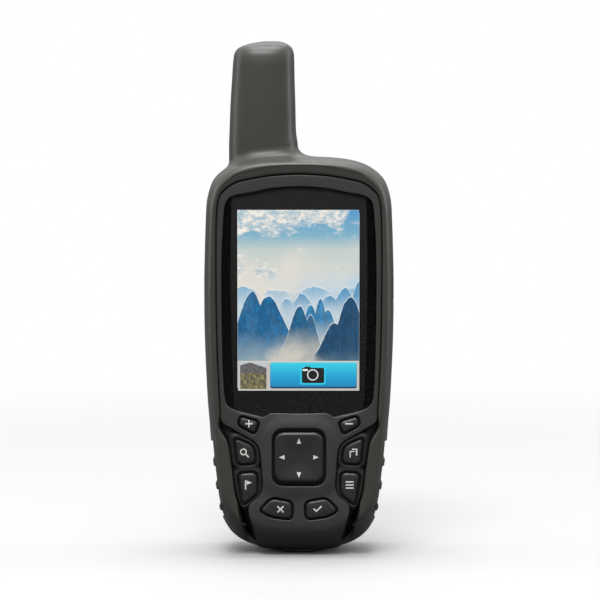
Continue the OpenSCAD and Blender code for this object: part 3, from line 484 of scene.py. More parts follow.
def lamp_lens():
    """Ridged pale lens over the lamp."""
    s = Shade("flash_lens")
    x, _, z = s.xyz()
    dx, dz = s.math("ADD", x, 0.0126), s.math("SUBTRACT", z, 0.0955)
    r = s.math("SQRT", s.math("ADD", s.math("MULTIPLY", dx, dx), s.math("MULTIPLY", dz, dz)))
    rings = s.math("SINE", s.math("MULTIPLY", r, 2 * math.pi / 0.00034))
    fine = s.noise(1800.0, 2.0, 0.5)
    col = s.ramp(s.math("DIVIDE", r, 0.003), [(0.0, (0.80, 0.66, 0.22)), (0.34, (0.82, 0.74, 0.46)), (0.42, (0.66, 0.66, 0.60)), (0.9, (0.50, 0.50, 0.47)), (1.0, (0.10, 0.10, 0.10))])
    return s.done(s.principled(col, s.math("ADD", 0.16, s.math("MULTIPLY", fine, 0.1)), s.bump(rings, 0.5, 0.00006)))


MAT["window_panel"] = pane_material("window_panel", (0.985, 0.985, 0.985), 0.045, 1.2)
MAT["display"] = plastic("display", (0.02, 0.022, 0.026), 0.25, grain=900.0, depth=0.00001)
MAT["cell_jacket"] = jacket_material()
MAT["board_green"] = board_material()
MAT["camera_glass"] = dark_glass()
MAT["flash_lens"] = lamp_lens()
INK_REFLECTION = ink_reflection_material()
PICTURE = display_material()
WHITE = print_material("print_white", (0.72, 0.72, 0.70))
GREY = print_material("print_grey", (0.20, 0.20, 0.19))
# side panels: the bezel plastic at half its colour as painted shade of the recess, and darker still deeper along Y as
# painted shade
PANEL = plastic("panel_plastic_shaded", shift(BEZEL, 0.50), 0.52, grain=3600.0, bump=0.25, spec=0.35, recess_shade=(-0.01565, -0.01450, 0.22))

SLOT = {p["node"]: p["material_slot"] for p in frame["record"]["subparts"]}
for node_name, ob in NODES.items():
    ob.data.materials.clear()
    ob.data.materials.append(MAT[SLOT[node_name]])
    if node_name not in ("window_lens",):
        for poly in ob.data.polygons:
            poly.use_smooth = True
        weld = ob.modifiers.new("weld", "WELD")
        weld.merge_threshold = 2e-6
        bev = ob.modifiers.new("edges", "BEVEL")
        bev.width, bev.segments, bev.limit_method, bev.angle_limit = 0.00010, 2, "ANGLE", math.radians(40)
        bev.use_clamp_overlap = True
        norm = ob.modifiers.new("normals", "WEIGHTED_NORMAL")
        norm.keep_sharp = True


# ------------------------------------------------------------------ curves and meshes
def full(h):
    return [list(p) for p in h] + [[-p[0], p[1]] for p in reversed(h) if p[0] > 0.01]


def mirror(pts):
    return [[-p[0], p[1]] for p in reversed(list(pts))]


def catmull(pts, n=None, closed=True, sub=14):
    """Smooth curve through the points, n of them evenly spaced by length."""
    p = np.asarray(pts, float)
    p = np.vstack([p[-1:], p, p[:2]]) if closed else np.vstack([2 * p[0] - p[1], p, 2 * p[-1] - p[-2]])
    out = []
    for i in range(1, len(p) - 2):
        a, b, c, d = p[i - 1], p[i], p[i + 1], p[i + 2]
        t0, t1, t2 = (max(np.linalg.norm(q), 1e-6) ** 0.5 for q in (b - a, c - b, d - c))
        m1 = (c - b) + t1 * ((b - a) / t0 - (c - a) / (t0 + t1))
        m2 = (c - b) + t1 * ((d - c) / t2 - (d - b) / (t1 + t2))
        s = np.linspace(0, 1, sub, endpoint=False)[:, None]
        out.append((2 * s**3 - 3 * s**2 + 1) * b + (s**3 - 2 * s**2 + s) * m1 + (3 * s**2 - 2 * s**3) * c + (s**3 - s**2) * m2)
    out = np.vstack(out + ([] if closed else [p[-2:-1]]))
    return even(out, n, closed) if n else out


def even(pts, n, closed=True):
    p = np.asarray(pts, float)
    if closed:
        p = np.vstack([p, p[:1]])
    length = np.concatenate([[0], np.cumsum(np.linalg.norm(np.diff(p, axis=0), axis=1))])
    t = np.linspace(0, length[-1], n, endpoint=not closed)
    return np.stack([np.interp(t, length, p[:, k]) for k in range(p.shape[1])], 1)


def soft(p, t, k=8):
    """Polygon with its corners rounded over a length t."""
    p = np.asarray(p, float)
    out = []
    for i in range(len(p)):
        a, b, c = p[i - 1], p[i], p[(i + 1) % len(p)]
        la, lc = np.linalg.norm(a - b), np.linalg.norm(c - b)
        s = min(t, la * 0.45, lc * 0.45)
        q, r = b + s * (a - b) / la, b + s * (c - b) / lc
        for w in np.linspace(0, 1, k + 1):
            out.append((1 - w) ** 2 * q + 2 * w * (1 - w) * b + w * w * r)
    return np.array(out)


def inset(p, d):
    """Convex polygon, clockwise, with every edge moved inwards."""
    p = np.asarray(p, float)
    out = []
    for i in range(len(p)):
        a, b, c = p[i - 1], p[i], p[(i + 1) % len(p)]
        u, v = (b - a) / np.linalg.norm(b - a), (c - b) / np.linalg.norm(c - b)
        a2, b2 = a + d * np.array([u[1], -u[0]]), b + d * np.array([v[1], -v[0]])
        k = u[0] * v[1] - u[1] * v[0]
        t = ((b2[0] - a2[0]) * v[1] - (b2[1] - a2[1]) * v[0]) / k
        out.append(a2 + t * u)
    return np.array(out)


def rect(x0, x1, z0, z1):
    return [[x0, z1], [x1, z1], [x1, z0], [x0, z0]]


def area(c):
    x, z = c[:, 0], c[:, 1]
    return 0.5 * np.sum(x * np.roll(z, -1) - np.roll(x, -1) * z)


def offset(c, d):
    """Closed contour moved inwards by d."""
    t = np.roll(c, -1, 0) - np.roll(c, 1, 0)
    t /= np.maximum(np.linalg.norm(t, axis=1), 1e-9)[:, None]
    n = np.stack([-t[:, 1], t[:, 0]], 1) * (1 if area(c) > 0 else -1)
    return c + d * n


def inside(q, c):
    x, z = q[:, 0][:, None], q[:, 1][:, None]
    x0, z0 = c[:, 0][None], c[:, 1][None]
    x1, z1 = np.roll(c[:, 0], -1)[None], np.roll(c[:, 1], -1)[None]
    hit = ((z0 > z) != (z1 > z)) & (x < (x1 - x0) * (z - z0) / np.where(z1 == z0, 1e-12, z1 - z0) + x0)
    return hit.sum(1) % 2 == 1


def dist(q, c):
    """Distance of points to a closed contour."""
    q = np.atleast_2d(q)
    a, b = c, np.roll(c, -1, 0)
    ab = b - a
    t = np.clip(((q[:, None] - a[None]) * ab[None]).sum(2) / np.maximum((ab * ab).sum(1), 1e-12)[None], 0, 1)
    return np.sqrt((((a[None] + t[..., None] * ab[None]) - q[:, None]) ** 2).sum(2)).min(1)


def sstep(x, lo, hi):
    t = np.clip((np.asarray(x, float) - lo) / (hi - lo), 0, 1)
    return t * t * (3 - 2 * t)


def obj_from(name, verts, faces, mat, angle=38.0, recalc=True, weld=0.0):
    me = bpy.data.meshes.new(name)
    me.from_pydata([tuple(float(k) * MM for k in v) for v in verts], [], [tuple(int(k) for k in f) for f in faces])
    if recalc or weld:
        bm = bmesh.new()
        bm.from_mesh(me)
        if weld:
            bmesh.ops.remove_doubles(bm, verts=bm.verts, dist=weld * MM)
        bmesh.ops.recalc_face_normals(bm, faces=bm.faces)
        bm.to_mesh(me)
        bm.free()
    ob = bpy.data.objects.new(name, me)
    bpy.context.scene.collection.objects.link(ob)
    if mat:
        me.materials.append(mat)
    shade(ob, angle)
    return ob


def shade(ob, angle=38.0):
    me = ob.data
    me.polygons.foreach_set("use_smooth", [True] * len(me.polygons))
    me.set_sharp_from_angle(angle=math.radians(angle))
    me.update()


def weighted(ob):
    m = ob.modifiers.new("normals", "WEIGHTED_NORMAL")
    m.keep_sharp = True
    m.weight = 60
    return ob


def loft(rings, cap=True):
    """Vertices and faces of a closed skin over rings with equal counts; the ends close on their middles."""
    m, n = len(rings), len(rings[0])
    verts = [p for r in rings for p in r]
    faces = []
    for i in range(m - 1):
        for j in range(n):
            k = (j + 1) % n
            faces.append((i * n + j, i * n + k, (i + 1) * n + k, (i + 1) * n + j))
    if cap:
        for r, base in ((rings[0], 0), (rings[-1], (m - 1) * n)):
            c = len(verts)
            verts.append(np.mean(np.asarray(r), axis=0))
            faces += [(base + j, base + (j + 1) % n, c) for j in range(n)]
    return verts, faces


def merge(parts):
    """Joins several (verts, faces)."""
    verts, faces = [], []
    for v, f in parts:
        o = len(verts)
        verts += list(v)
        faces += [tuple(k + o for k in q) for q in f]
    return verts, faces


def slab(outer, holes, front, back, fillet=0.4, hole_fillet=0.35, grid=1.3, steps=4, back_fillet=0.0):
    """Closed plate facing -Y. front(x, z) and back(x, z) give its two faces; the front edges are rounded."""
    loops = [(np.asarray(outer, float), fillet)] + [(np.asarray(h, float), hole_fillet) for h in holes]
    verts, faces, rims, backs = [], [], [], []
    fy = (lambda q: np.asarray(front(q[:, 0], q[:, 1]), float) + np.zeros(len(q)))
    by = (lambda q: np.asarray(back(q[:, 0], q[:, 1]), float) + np.zeros(len(q))) if callable(back) else (lambda q: np.full(len(q), float(back)))
    for k, (c, f) in enumerate(loops):
        sgn = 1 if k == 0 else -1
        n = len(c)
        rings = [(c, by(c))]
        for j in range(steps + 1):
            a = math.pi / 2 * j / steps
            r = offset(c, sgn * f * (1 - math.cos(a)))
            rings.append((r, fy(r) + f * (1 - math.sin(a))))
        base = len(verts)
        for q, y in rings:
            verts += [(q[i, 0], y[i], q[i, 1]) for i in range(n)]
        for i in range(len(rings) - 1):
            for j in range(n):
                m = (j + 1) % n
                faces.append((base + i * n + j, base + i * n + m, base + (i + 1) * n + m, base + (i + 1) * n + j))
        rims.append((base + (len(rings) - 1) * n, rings[-1][0]))
        backs.append((base, c))
    # inner points
    top = rims[0][1]
    x0, x1, z0, z1 = top[:, 0].min(), top[:, 0].max(), top[:, 1].min(), top[:, 1].max()
    gx, gz = np.meshgrid(np.arange(x0 + grid / 2, x1, grid), np.arange(z0 + grid / 2, z1, grid))
    gx = gx + (np.arange(gx.shape[0]) % 2)[:, None] * grid * 0.5
    q = np.stack([gx.ravel(), gz.ravel()], 1)
    keep = inside(q, top) & (dist(q, top) > grid * 0.45)
    for _, r in rims[1:]:
        keep &= ~inside(q, r) & (dist(q, r) > grid * 0.45)
    q = q[keep]
    for face, ends, yfun in ((0, rims, fy), (1, backs, by)):
        pts, edges, ids = [], [], []
        for b, r in ends:
            o = len(pts)
            pts += [Vector((float(a[0]), float(a[1]))) for a in r]
            ids += list(range(b, b + len(r)))
            edges += [(o + j, o + (j + 1) % len(r)) for j in range(len(r))]
        o = len(verts)
        y = yfun(q) if len(q) else []
        verts += [(q[i, 0], y[i], q[i, 1]) for i in range(len(q))]
        ids += list(range(o, o + len(q)))
        pts += [Vector((float(a[0]), float(a[1]))) for a in q]
        v2, _, f2, orig, _, _ = delaunay_2d_cdt(pts, edges, [], 0, 1e-5, True)
        v2a = np.array([(a[0], a[1]) for a in v2])
        where = []
        for i, o_ids in enumerate(orig):
            if o_ids:
                where.append(ids[o_ids[0]])
            else:
                where.append(len(verts))
                verts.append((v2a[i, 0], float(yfun(v2a[i : i + 1])[0]), v2a[i, 1]))
        tri = np.array([f for f in f2 if len(f) == 3])
        cen = v2a[tri].mean(1)
        ok = inside(cen, ends[0][1])
        for _, r in ends[1:]:
            ok &= ~inside(cen, r)
        faces += [tuple(where[k] for k in t) for t in tri[ok]]
    return verts, faces


def prism(poly, y0, y1):
    poly = np.asarray(poly, float)
    return loft([[(p[0], y, p[1]) for p in poly] for y in (y0, y1)])


def xprism(poly, x0, x1):
    """poly holds [y, z] points."""
    return loft([[(x, p[0], p[1]) for p in np.asarray(poly, float)] for x in (x0, x1)])


def ycyl(x, z, y0, y1, r, n=48):
    a = np.linspace(0, 2 * math.pi, n, endpoint=False)
    return prism(np.stack([x + r * np.cos(a), z + r * np.sin(a)], 1), y0, y1)


def ybox(x0, x1, y0, y1, z0, z1):
    return prism(rect(x0, x1, z0, z1), y0, y1)


def cut(ob, tool, op="DIFFERENCE"):
    """Boolean with a closed (verts, faces), applied at once."""
    t = obj_from("tool", tool[0], tool[1], None)
    m = ob.modifiers.new("cut", "BOOLEAN")
    m.operation, m.object, m.solver = op, t, "MANIFOLD"
    bpy.context.view_layer.update()
    dg = bpy.context.evaluated_depsgraph_get()
    me = bpy.data.meshes.new_from_object(ob.evaluated_get(dg))
    if len(me.polygons) < 4:
        m.solver = "EXACT"
        bpy.context.view_layer.update()
        me = bpy.data.meshes.new_from_object(ob.evaluated_get(bpy.context.evaluated_depsgraph_get()))
    ob.modifiers.remove(m)
    old = ob.data
    mats = [s for s in old.materials]
    ob.data = me
    me.materials.clear()
    for k in mats:
        me.materials.append(k)
    bpy.data.meshes.remove(old)
    tm = t.data
    bpy.data.objects.remove(t)
    bpy.data.meshes.remove(tm)
    return ob


def revolve_y(profile, cx, cz, n=64):
    """Closed turned shape about an axis along Y: profile holds [radius, y] points from one axis end to the other."""
    a = np.linspace(0, 2 * math.pi, n, endpoint=False)
    rings = [[(cx + r * math.cos(t), y, cz + r * math.sin(t)) for t in a] for r, y in profile]
    return loft(rings)


# ------------------------------------------------------------------ the unit's own measures
OUT_HALF = [[0, 124.5], [5, 124.5], [10, 124.3], [14, 123.9], [18, 123.1], [21, 122], [23.5, 120.5], [25.6, 118.7],
            [27, 116.8], [28, 114.2], [28.8, 110.7], [29.2, 104], [29.5, 95], [29.7, 86], [29.7, 76], [29.5, 66], [29.1, 56],
            [28.6, 47], [28.1, 41], [27.72, 35.5], [27.25, 30.5], [26.75, 26], [26.3, 22], [25.8, 18], [25.1, 14.2],
            [24.5, 12.2], [24, 11], [23.2, 9.4], [22.6, 8.4], [21.7, 7.1], [20.5, 5.8], [19, 4.6], [16.5, 3.2],
            [13.5, 2.1], [10, 1.1], [7, 0.45], [4, 0]]
OPEN_HALF = [[0, 119.4], [9.5, 118.8], [14.2, 118], [19.4, 116.8], [21.3, 115.8], [23.1, 114.4], [24.4, 112.8],
             [25, 111.2], [25.5, 107], [25.7, 99], [25.7, 80], [25.5, 68], [25.2, 59], [24.9, 52.6], [24.6, 47], [24.5, 44.5],
             [24.9, 41.3], [22.4, 36.8], [21.9, 35], [20.8, 27.5], [19.8, 19.6], [19.2, 18], [18.4, 12.4], [17.5, 9.35]]
RIM_HALF = [[0, 121.9], [9.5, 121.2], [14.1, 120.1], [19.4, 118.9], [21.2, 117.3], [23, 115.9], [24.9, 113.2], [25.7, 109.8],
            [26.2, 99], [26.3, 89.8], [26.2, 80.5], [26.05, 68], [25.65, 58.9], [25.35, 52.6], [25.05, 46.4], [24.9, 43.5],
            [25.0, 41.2], [22.45, 36.7], [21.95, 35.1], [20.85, 27.5], [19.85, 19.6], [19.25, 18], [18.4, 12.4], [17.5, 9.35]]
NOTCH = [[16.5, 6], [15.3, 3], [13, 0.6], [13, -2]]
CAV_HALF = [[0, 117.6], [18.6, 115.3], [22, 113.2], [23.6, 110], [24.1, 98], [24.1, 80], [23.8, 62], [23.2, 47],
            [20.4, 37], [19, 25], [17.6, 14], [15.5, 11.2], [0, 10.8]]
KEYPAD_HALF = [[0, 42], [24.2, 42], [22.2, 36.9], [21.7, 35], [20.6, 27.5], [19.6, 19.6], [19, 18], [18.2, 12.5], [17.9, 11.3], [0, 11.3]]
LENS_HALF = [[0, 115.3], [6, 115], [10, 114.5], [14, 113.6], [17.5, 113], [20, 112.5], [21.9, 111.2], [22.7, 109.4],
             [23.2, 104], [23.5, 99], [23.75, 90], [23.75, 80.5], [23.6, 68], [23.35, 58.8], [23.05, 52.6], [22.7, 49.5],
             [22, 47.9], [20.4, 46.7], [12.75, 44.7], [10.85, 44.25], [10.2, 44.6], [9.15, 45.3], [0, 45.3]]
SEAM = [[24.35, 43.9], [23.9, 42.5], [21.2, 40.7], [18.8, 39.3], [15.6, 37.5], [13.7, 36.3], [12.5, 34.7], [12.1, 33.2], [11.6, 27.6],
        [11.4, 21.6], [12.5, 19.1], [15.3, 16.7], [15.7, 15.3], [15.3, 12.5], [14.5, 9.7], [13.7, 6.7], [13.3, 4.6], [13.3, 2.9]]
STATIONS = [[-17.6, 3, 2.6, 9], [-17.5, 2.62, 2.25, 8.7], [-17.2, 2.2, 1.9, 8.2], [-16, 1.4, 1.3, 7], [-15, 1.15, 1.1, 6.1], [-14.5, 1.05, 1, 5.6], [-12.5, 0.7, 0.7, 3.7],
            [-11, 0.53, 0.53, 2.65], [-7, 0.15, 0.15, 0.5], [-4, 0, 0, 0], [1, 0.08, 0.08, 0], [6.8, 0.28, 0.28, 0],
            [9, 1, 1, 0.9], [11.5, 2.3, 2.3, 2.3], [13.5, 4.2, 4.2, 4.2], [14.9, 7, 7, 7], [15.4, 10, 10, 10]]
STUB = [[128.5, -22, -0.35, -8.3, 11.8], [132, -21.85, -0.85, -8.2, 11.7], [141, -21.5, -1.1, -8, 11.5], [149, -21, -1.35, -7.7, 11.2],
        [154.5, -20.6, -1.45, -7.4, 10.8], [156.8, -20.2, -1.6, -6.9, 10.3], [158.3, -19.1, -2.1, -5.9, 9.3],
        [159.4, -16.8, -3.2, -4, 7.4], [160.2, -13.4, -4.8, -1.2, 4.8], [160.55, -11.2, -6.2, 0.4, 3.2]]
HOLES = [[[-18.4, 45], [-11.7, 43], [-13.4, 38.1], [-19.4, 41.5]], [[-20.6, 38.5], [-13.5, 35.3], [-12.7, 29.2], [-19.6, 28.6]],
         [[-19.6, 27], [-12.5, 27.4], [-12.3, 19.8], [-17.9, 15.5]], [[-8.7, 19.35], [-1.5, 18], [-1.8, 11.6], [-9.2, 12.6], [-13, 14.9]]]
CORNER = [1.8, 2.2, 2.2, 2.0]
ROCKER_HOLE = [[-8.4, 40.7], [8.4, 40.7], [8.4, 22.6], [-8.4, 22.6]]
SCREWS = [[21.2, 47], [-21.2, 47], [15.6, 11.8], [-15.6, 11.8]]
LATCH_Z, USB, JACK, CAMERA, LAMP, ROCKER_Z = 16.0, (13.0, 95.0), (12.6, 107.0), (-12.6, 107.0), (-12.6, 95.5), 31.7
DOOR = [[-22.5, 86.3], [22.5, 86.3], [22.5, 5.2], [-22.5, 5.2]]
PLATE_Y, PANEL_Y = -16.6, -15.8

_sy = np.array(STATIONS)


def low(z):
    return np.where(z < 62, ((62 - z) / 62) ** 2, 0)


def high(z):
    return np.where(z > 62, (z - 62) / 62.5, 0)


def skin(p, row, d=0.0):
    """Points of the housing's skin at one depth row [y, side inset, top inset, bottom rise], sunk by d."""
    p = np.asarray(p, float)
    x, z = p[:, 0], p[:, 1]
    return np.stack([x * (29.7 - row[1]) / 29.7 - np.sign(x) * d, np.full(len(p), row[0]), z + row[3] * low(z) - row[2] * high(z)], 1)


def row_at(y):
    return [y] + [float(np.interp(y, _sy[:, 0], _sy[:, k])) for k in (1, 2, 3)]


def by_angle(contour, n=260, c=(0.0, 62.0)):
    """Contour sampled where evenly spread points of the outline look from the middle, so that rings match up."""
    p = catmull(contour, 1600) - np.array(c)
    a = np.unwrap(np.arctan2(p[:, 1], p[:, 0]))
    if a[-1] < a[0]:
        p, a = p[::-1], a[::-1]
    r = np.hypot(p[:, 0], p[:, 1])
    ref = catmull(full(OUT_HALF), n) - np.array(c)
    t = np.arctan2(ref[:, 1], ref[:, 0])
    a_m = (a - a[0]) % (2 * math.pi) + a[0]
    order = np.argsort(a_m)
    rr = np.interp((t - a[0]) % (2 * math.pi) + a[0], a_m[order], r[order], period=2 * math.pi)
    return np.stack([c[0] + rr * np.cos(t), c[1] + rr * np.sin(t)], 1)


# ------------------------------------------------------------------ rear housing
OUT = catmull(full(OUT_HALF), 300)
OUT = np.stack([np.clip(OUT[:, 0], -29.7, 29.7), np.maximum(OUT[:, 1], 0.0)], 1)
ROWS = catmull(STATIONS, None, closed=False, sub=4)
ROWS[:, 1:] = np.maximum(ROWS[:, 1:], 0.0)
plain = loft([skin(OUT, r) for r in ROWS])


def probe(verts, faces):
    return BVHTree.FromPolygons([Vector(v) for v in verts], faces)


shell_tree = probe(*plain)


def top_at(x, y):
    hit = shell_tree.ray_cast(Vector((x, y, 140)), Vector((0, 0, -1)))
    return hit[0].z if hit[0] is not None else 112.0


def oval(row, n=84, e=0.72):
    t = (np.arange(n) + 0.5) / n * 2 * math.pi
    cx, sy = np.cos(t), np.sin(t)
    return np.stack([(row[1] + row[2]) / 2 + (row[2] - row[1]) / 2 * np.sign(cx) * np.abs(cx) ** e,
                     (row[3] + row[4]) / 2 + (row[4] - row[3]) / 2 * np.sign(sy) * np.abs(sy) ** e, np.full(n, row[0])], 1)


def stub():
    """Antenna stub, blended into the shoulder by a rounded foot that ends just under the shell."""
    rows = catmull(STUB, None, closed=False, sub=7)
    base = oval(rows[0])
    n = len(base)
    t = np.roll(base, -1, 0) - np.roll(base, 1, 0)
    nrm = np.stack([t[:, 1], -t[:, 0]], 1)
    nrm /= np.linalg.norm(nrm, axis=1)[:, None]
    rings = []
    steps = 13
    foot = np.zeros((steps + 2, n, 3))
    for j in range(n):
        x, y = base[j, 0], base[j, 1]
        nx, ny = nrm[j]
        r = 1.7 + 4.4 * max(0.0, nx) ** 1.6 + 1.9 * max(0.0, -ny) ** 1.5 + 1.2 * max(0.0, ny) ** 1.5
        zc, fx, fy = top_at(x, y), x + nx * r, y + ny * r
        zf = top_at(fx, fy)
        p0 = np.array([x, y, min(128.3, zc + r * 0.95)])
        p1 = np.array([x, y, zc + 0.05 * r])
        p2 = np.array([fx, fy, zf])
        for k in range(steps):
            w = k / (steps - 1)
            foot[k, j] = (1 - w) ** 2 * p0 + 2 * w * (1 - w) * p1 + w * w * p2
        foot[steps, j] = (fx + nx * 0.25, fy + ny * 0.25, top_at(fx + nx * 0.25, fy + ny * 0.25) - 0.22)
        foot[steps + 1, j] = (x - nx * 2, y - ny * 2, 113.0)
    rings = [foot[k] for k in range(steps + 1, -1, -1)] + [oval(r) for r in rows]
    return loft(rings)


def circle_opening():
    """Cutter for the front opening, with the rim's chamfer and step."""
    outer = by_angle(full(RIM_HALF) if False else full(RIM_HALF + NOTCH))
    inner = by_angle(full(OPEN_HALF + NOTCH))
    rings = []
    for y, t, s in ((-19.5, 0, 0.9), (-17.75, 0, 0.6), (-17.55, 0, 0.38), (-17.47, 0, 0.22), (-17.42, 0.04, 0.08), (-17.38, 0.15, 0), (-17.34, 0.35, 0),
                    (-17.29, 0.55, 0), (-17.22, 0.75, 0), (-17.10, 0.88, 0), (-16.88, 0.95, 0), (-16.4, 0.985, 0), (-15.4, 1, 0), (-13.0, 1, 0)):
        c = outer * (1 - t) + inner * t
        d = (c - np.array([0, 62.0]))
        c = c + s * d / np.linalg.norm(d, axis=1)[:, None]
        rings.append(np.stack([c[:, 0], np.full(len(c), y), c[:, 1]], 1))
    return loft(rings)


def grip_cutter(side):
    zs = np.linspace(9.6, 35.3, 40)
    ys = np.linspace(-15.05, 6.85, 22)
    half = np.array([[p[1], p[0]] for p in reversed(OUT_HALF)])
    def surf(z, y, d):
        x = float(np.interp(z, half[:, 0], half[:, 1]))
        q = skin([[x, z]], row_at(y))[0]
        return (side * (q[0] + d), q[1], q[2])
    n = len(ys)
    rings = []
    for z in zs:
        rings.append([surf(z, y, -1.5) for y in ys] + [surf(z, y, 4.0) for y in reversed(ys)])
    return loft(rings)


shell = obj_from("rear_shell", plain[0], plain[1], MAT["shell_plastic"])
cut(shell, stub(), "UNION")
cut(shell, circle_opening())
notch = np.array([[-17.8, 9.35], [17.8, 9.35], [16.7, 6], [15.3, 3], [13, 0.6], [13, -2], [-13, -2], [-13, 0.6], [-15.3, 3], [-16.7, 6]])
cut(shell, prism(notch, -13.1, -7.7))
cut(shell, prism([[-19.1, 18], [19.1, 18], [18.55, 12.4], [17.8, 9.3], [-17.8, 9.3], [-18.55, 12.4]], -13.1, -10.9))
cut(shell, prism(full(CAV_HALF), -13.1, -4.6))
cut(shell, prism(full(KEYPAD_HALF), -13.12, -11.3))
for px, pz in SCREWS:
    cut(shell, ycyl(px, pz, -13.15, -4.6, 2.35))
    cut(shell, ycyl(px, pz, -4.7, 0.0, 1.3))
    cut(shell, ycyl(px, pz, -1.0, 10.3, 2.3))
cut(shell, prism(rect(17.6, 24, 53, 80), -4.7, 8))
cut(shell, prism(rect(-24, -17.6, 53, 80), -4.7, 8))
cut(shell, prism(rect(-12, 12, 12, 25.5), -4.7, 6.5))
cut(shell, prism(rect(-15.6, 15.6, 27.8, 82.6), -2, 20))
cut(shell, prism(rect(-6.6, 6.6, 48, 64.2), -3.9, -1.9))
door_hole = soft(DOOR, 7, 12)
cut(shell, loft([[(p[0], y, p[1]) for p in offset(door_hole, -d)] for y, d in ((10.2, 0), (13.4, 0), (20, 0))]))
cut(shell, ycyl(0, LATCH_Z, 8.3, 10.3, 8.6, 64))
cut(shell, prism([[-16, 117], [16, 117], [19.5, 113], [19.5, 89.5], [-19.5, 89.5], [-19.5, 113]], -4.7, 12.6))
cut(shell, loft([[(-11.4 + 6.8 * math.cos(a), 2 + 6.8 * math.sin(a), z) for a in np.linspace(0, 2 * math.pi, 48, endpoint=False)] for z in (112, 156)]))
cut(shell, revolve_y([(3.2, 12), (3.2, 14.3), (4.4, 14.3), (4.4, 15.2), (4.9, 15.6), (5.2, 20)], *CAMERA))
cut(shell, revolve_y([(2, 12), (2, 14.4), (2.9, 14.4), (2.9, 15.2), (3.3, 15.6), (3.6, 20)], *LAMP))
cut(shell, prism(soft(rect(USB[0] - 6.2, USB[0] + 6.2, USB[1] - 5.2, USB[1] + 5.2), 1.9), 13.6, 20))
cut(shell, prism(rect(USB[0] - 4.4, USB[0] + 4.4, USB[1] - 3.2, USB[1] + 2.6), 12, 14))
cut(shell, ycyl(JACK[0], JACK[1], 13.6, 20, 4.8))
cut(shell, ybox(JACK[0] - 2, JACK[0] + 2, 13.6, 20, JACK[1] + 1, JACK[1] + 5.4))
cut(shell, ycyl(JACK[0], JACK[1], 12, 14, 3.5))
for z in (94, 109):
    cut(shell, ycyl(0, z, 12, 16, 1.05, 24))
cut(shell, xprism(soft([[-13.3, 89.9], [-6.7, 89.9], [-6.7, 79.3], [-13.3, 79.3]], 3), 24, 34))
cut(shell, ybox(23, 25.9, -13.05, -5.6, 77.6, 91.6))
for side in (1, -1):
    cut(shell, grip_cutter(side))
shade(shell, 34)
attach(shell, "housing")
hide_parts("rear_housing")


def piece(name, geo, mat, body, slot, *replaced, angle=38.0, weights=True):
    ob = obj_from(name, geo[0], geo[1], mat, angle)
    if weights:
        weighted(ob)
    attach(ob, body)
    if replaced:
        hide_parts(*replaced)
    return ob


# ------------------------------------------------------------------ front panel, side panels, chin
FALL = catmull([[-3, 0], [-0.35, 0.0], [0.05, 0.05], [0.4, 0.22], [1.3, 0.76], [2.9, 1.78], [5.4, 4.2], [7.4, 7.1], [8.2, 8.7], [9.4, 11.5]], None, closed=False)


def chin_fall(x, z):
    t = 9.3 + 5.4e-6 * np.abs(x) ** 4.9 - z
    return np.where(t < -2.9, 0.0, np.interp(t, FALL[:, 0], FALL[:, 1]))


rocker_hole = even(soft(ROCKER_HOLE, 4.0, 12), 110)
hole_c = []
for h, t in zip(HOLES, CORNER):
    c = even(soft(h, t, 10), 64)
    hole_c.append((c, np.array(mirror(c))))


def plate_y(x, z):
    q = np.stack([np.atleast_1d(x), np.atleast_1d(z)], 1).astype(float)
    y = PLATE_Y + chin_fall(q[:, 0], q[:, 1])
    d = dist(q, rocker_hole)
    y = y - 0.78 * sstep(d, 4.4, 0.9) * sstep(q[:, 1], 52, 46)
    for k in (0, 3):
        for c in hole_c[k]:
            y = y - 0.20 * sstep(dist(q, c), 1.0, 0.35)
    return y


def panel_y(x, z):
    q = np.stack([np.atleast_1d(x), np.atleast_1d(z)], 1).astype(float)
    y = PANEL_Y + chin_fall(q[:, 0], q[:, 1])
    d = np.full(len(q), 99.0)
    for k in (1, 2):
        for c in hole_c[k]:
            d = np.minimum(d, dist(q, c))
    y = y + 1.45 * sstep(d, 0.75, 2.4) - 0.26 * sstep(d, 0.95, 0.45)
    return y


rim_side = [[p[0] - 0.22, p[1]] for p in OPEN_HALF[1:16]]
plate_right = catmull([[0.0, 119.2]] + [[p[0], p[1] - (0.2 if p[1] > 113 else 0)] for p in rim_side] + SEAM + [[13.1, 2.35], [12.4, 1.95], [9.5, 1.42], [5, 1.06], [0, 1.0]],
                      None, closed=False, sub=8)
plate_c = even(np.vstack([plate_right, np.array(mirror(plate_right))[1:-1]]), 620)
lens_hole = np.array(full(LENS_HALF))
lens_c = even(catmull(full(LENS_HALF), None, sub=6), 320)
lens_cut = offset(lens_c, -0.16)
plate_holes = [lens_cut] + [c for k in (0, 3) for c in hole_c[k]] + [rocker_hole]
plate = slab(plate_c, plate_holes, plate_y, lambda x, z: np.maximum(-13.85, plate_y(x, z) + 1.3), fillet=0.42, hole_fillet=0.30, grid=1.25)
front = piece("front_plate", plate, MAT["bezel_plastic"], "housing", "bezel_plastic", "front_housing", angle=50)

# lower side panels, between the seam and the rim
outer_side = [[24.15, 43.6], [24.55, 41.4], [22.1, 36.8], [21.6, 35], [20.5, 27.5], [19.5, 19.6], [18.9, 18], [18.1, 12.4], [17.2, 9.3], [16.3, 6.2], [15.2, 4.2], [14.3, 3.0]]
seam_in = [[p[0] + 0.16, p[1] - 0.12] for p in SEAM[1:]]
ring = np.vstack([catmull(outer_side, None, closed=False, sub=8), catmull(list(reversed(seam_in)), None, closed=False, sub=8)])
panel_c = even(ring, 300)
for side, tag in ((1, "right"), (-1, "left")):
    c = panel_c if side > 0 else np.array(mirror(panel_c))
    hs = [hole_c[k][1 if side > 0 else 0] for k in (1, 2)]
    geo = slab(c, hs, panel_y, lambda x, z: np.maximum(-13.85, panel_y(x, z) + 0.5), fillet=0.30, hole_fillet=0.26, grid=0.9)
    piece("side_panel_" + tag, geo, PANEL, "housing", "bezel_plastic", "front_housing", angle=50)

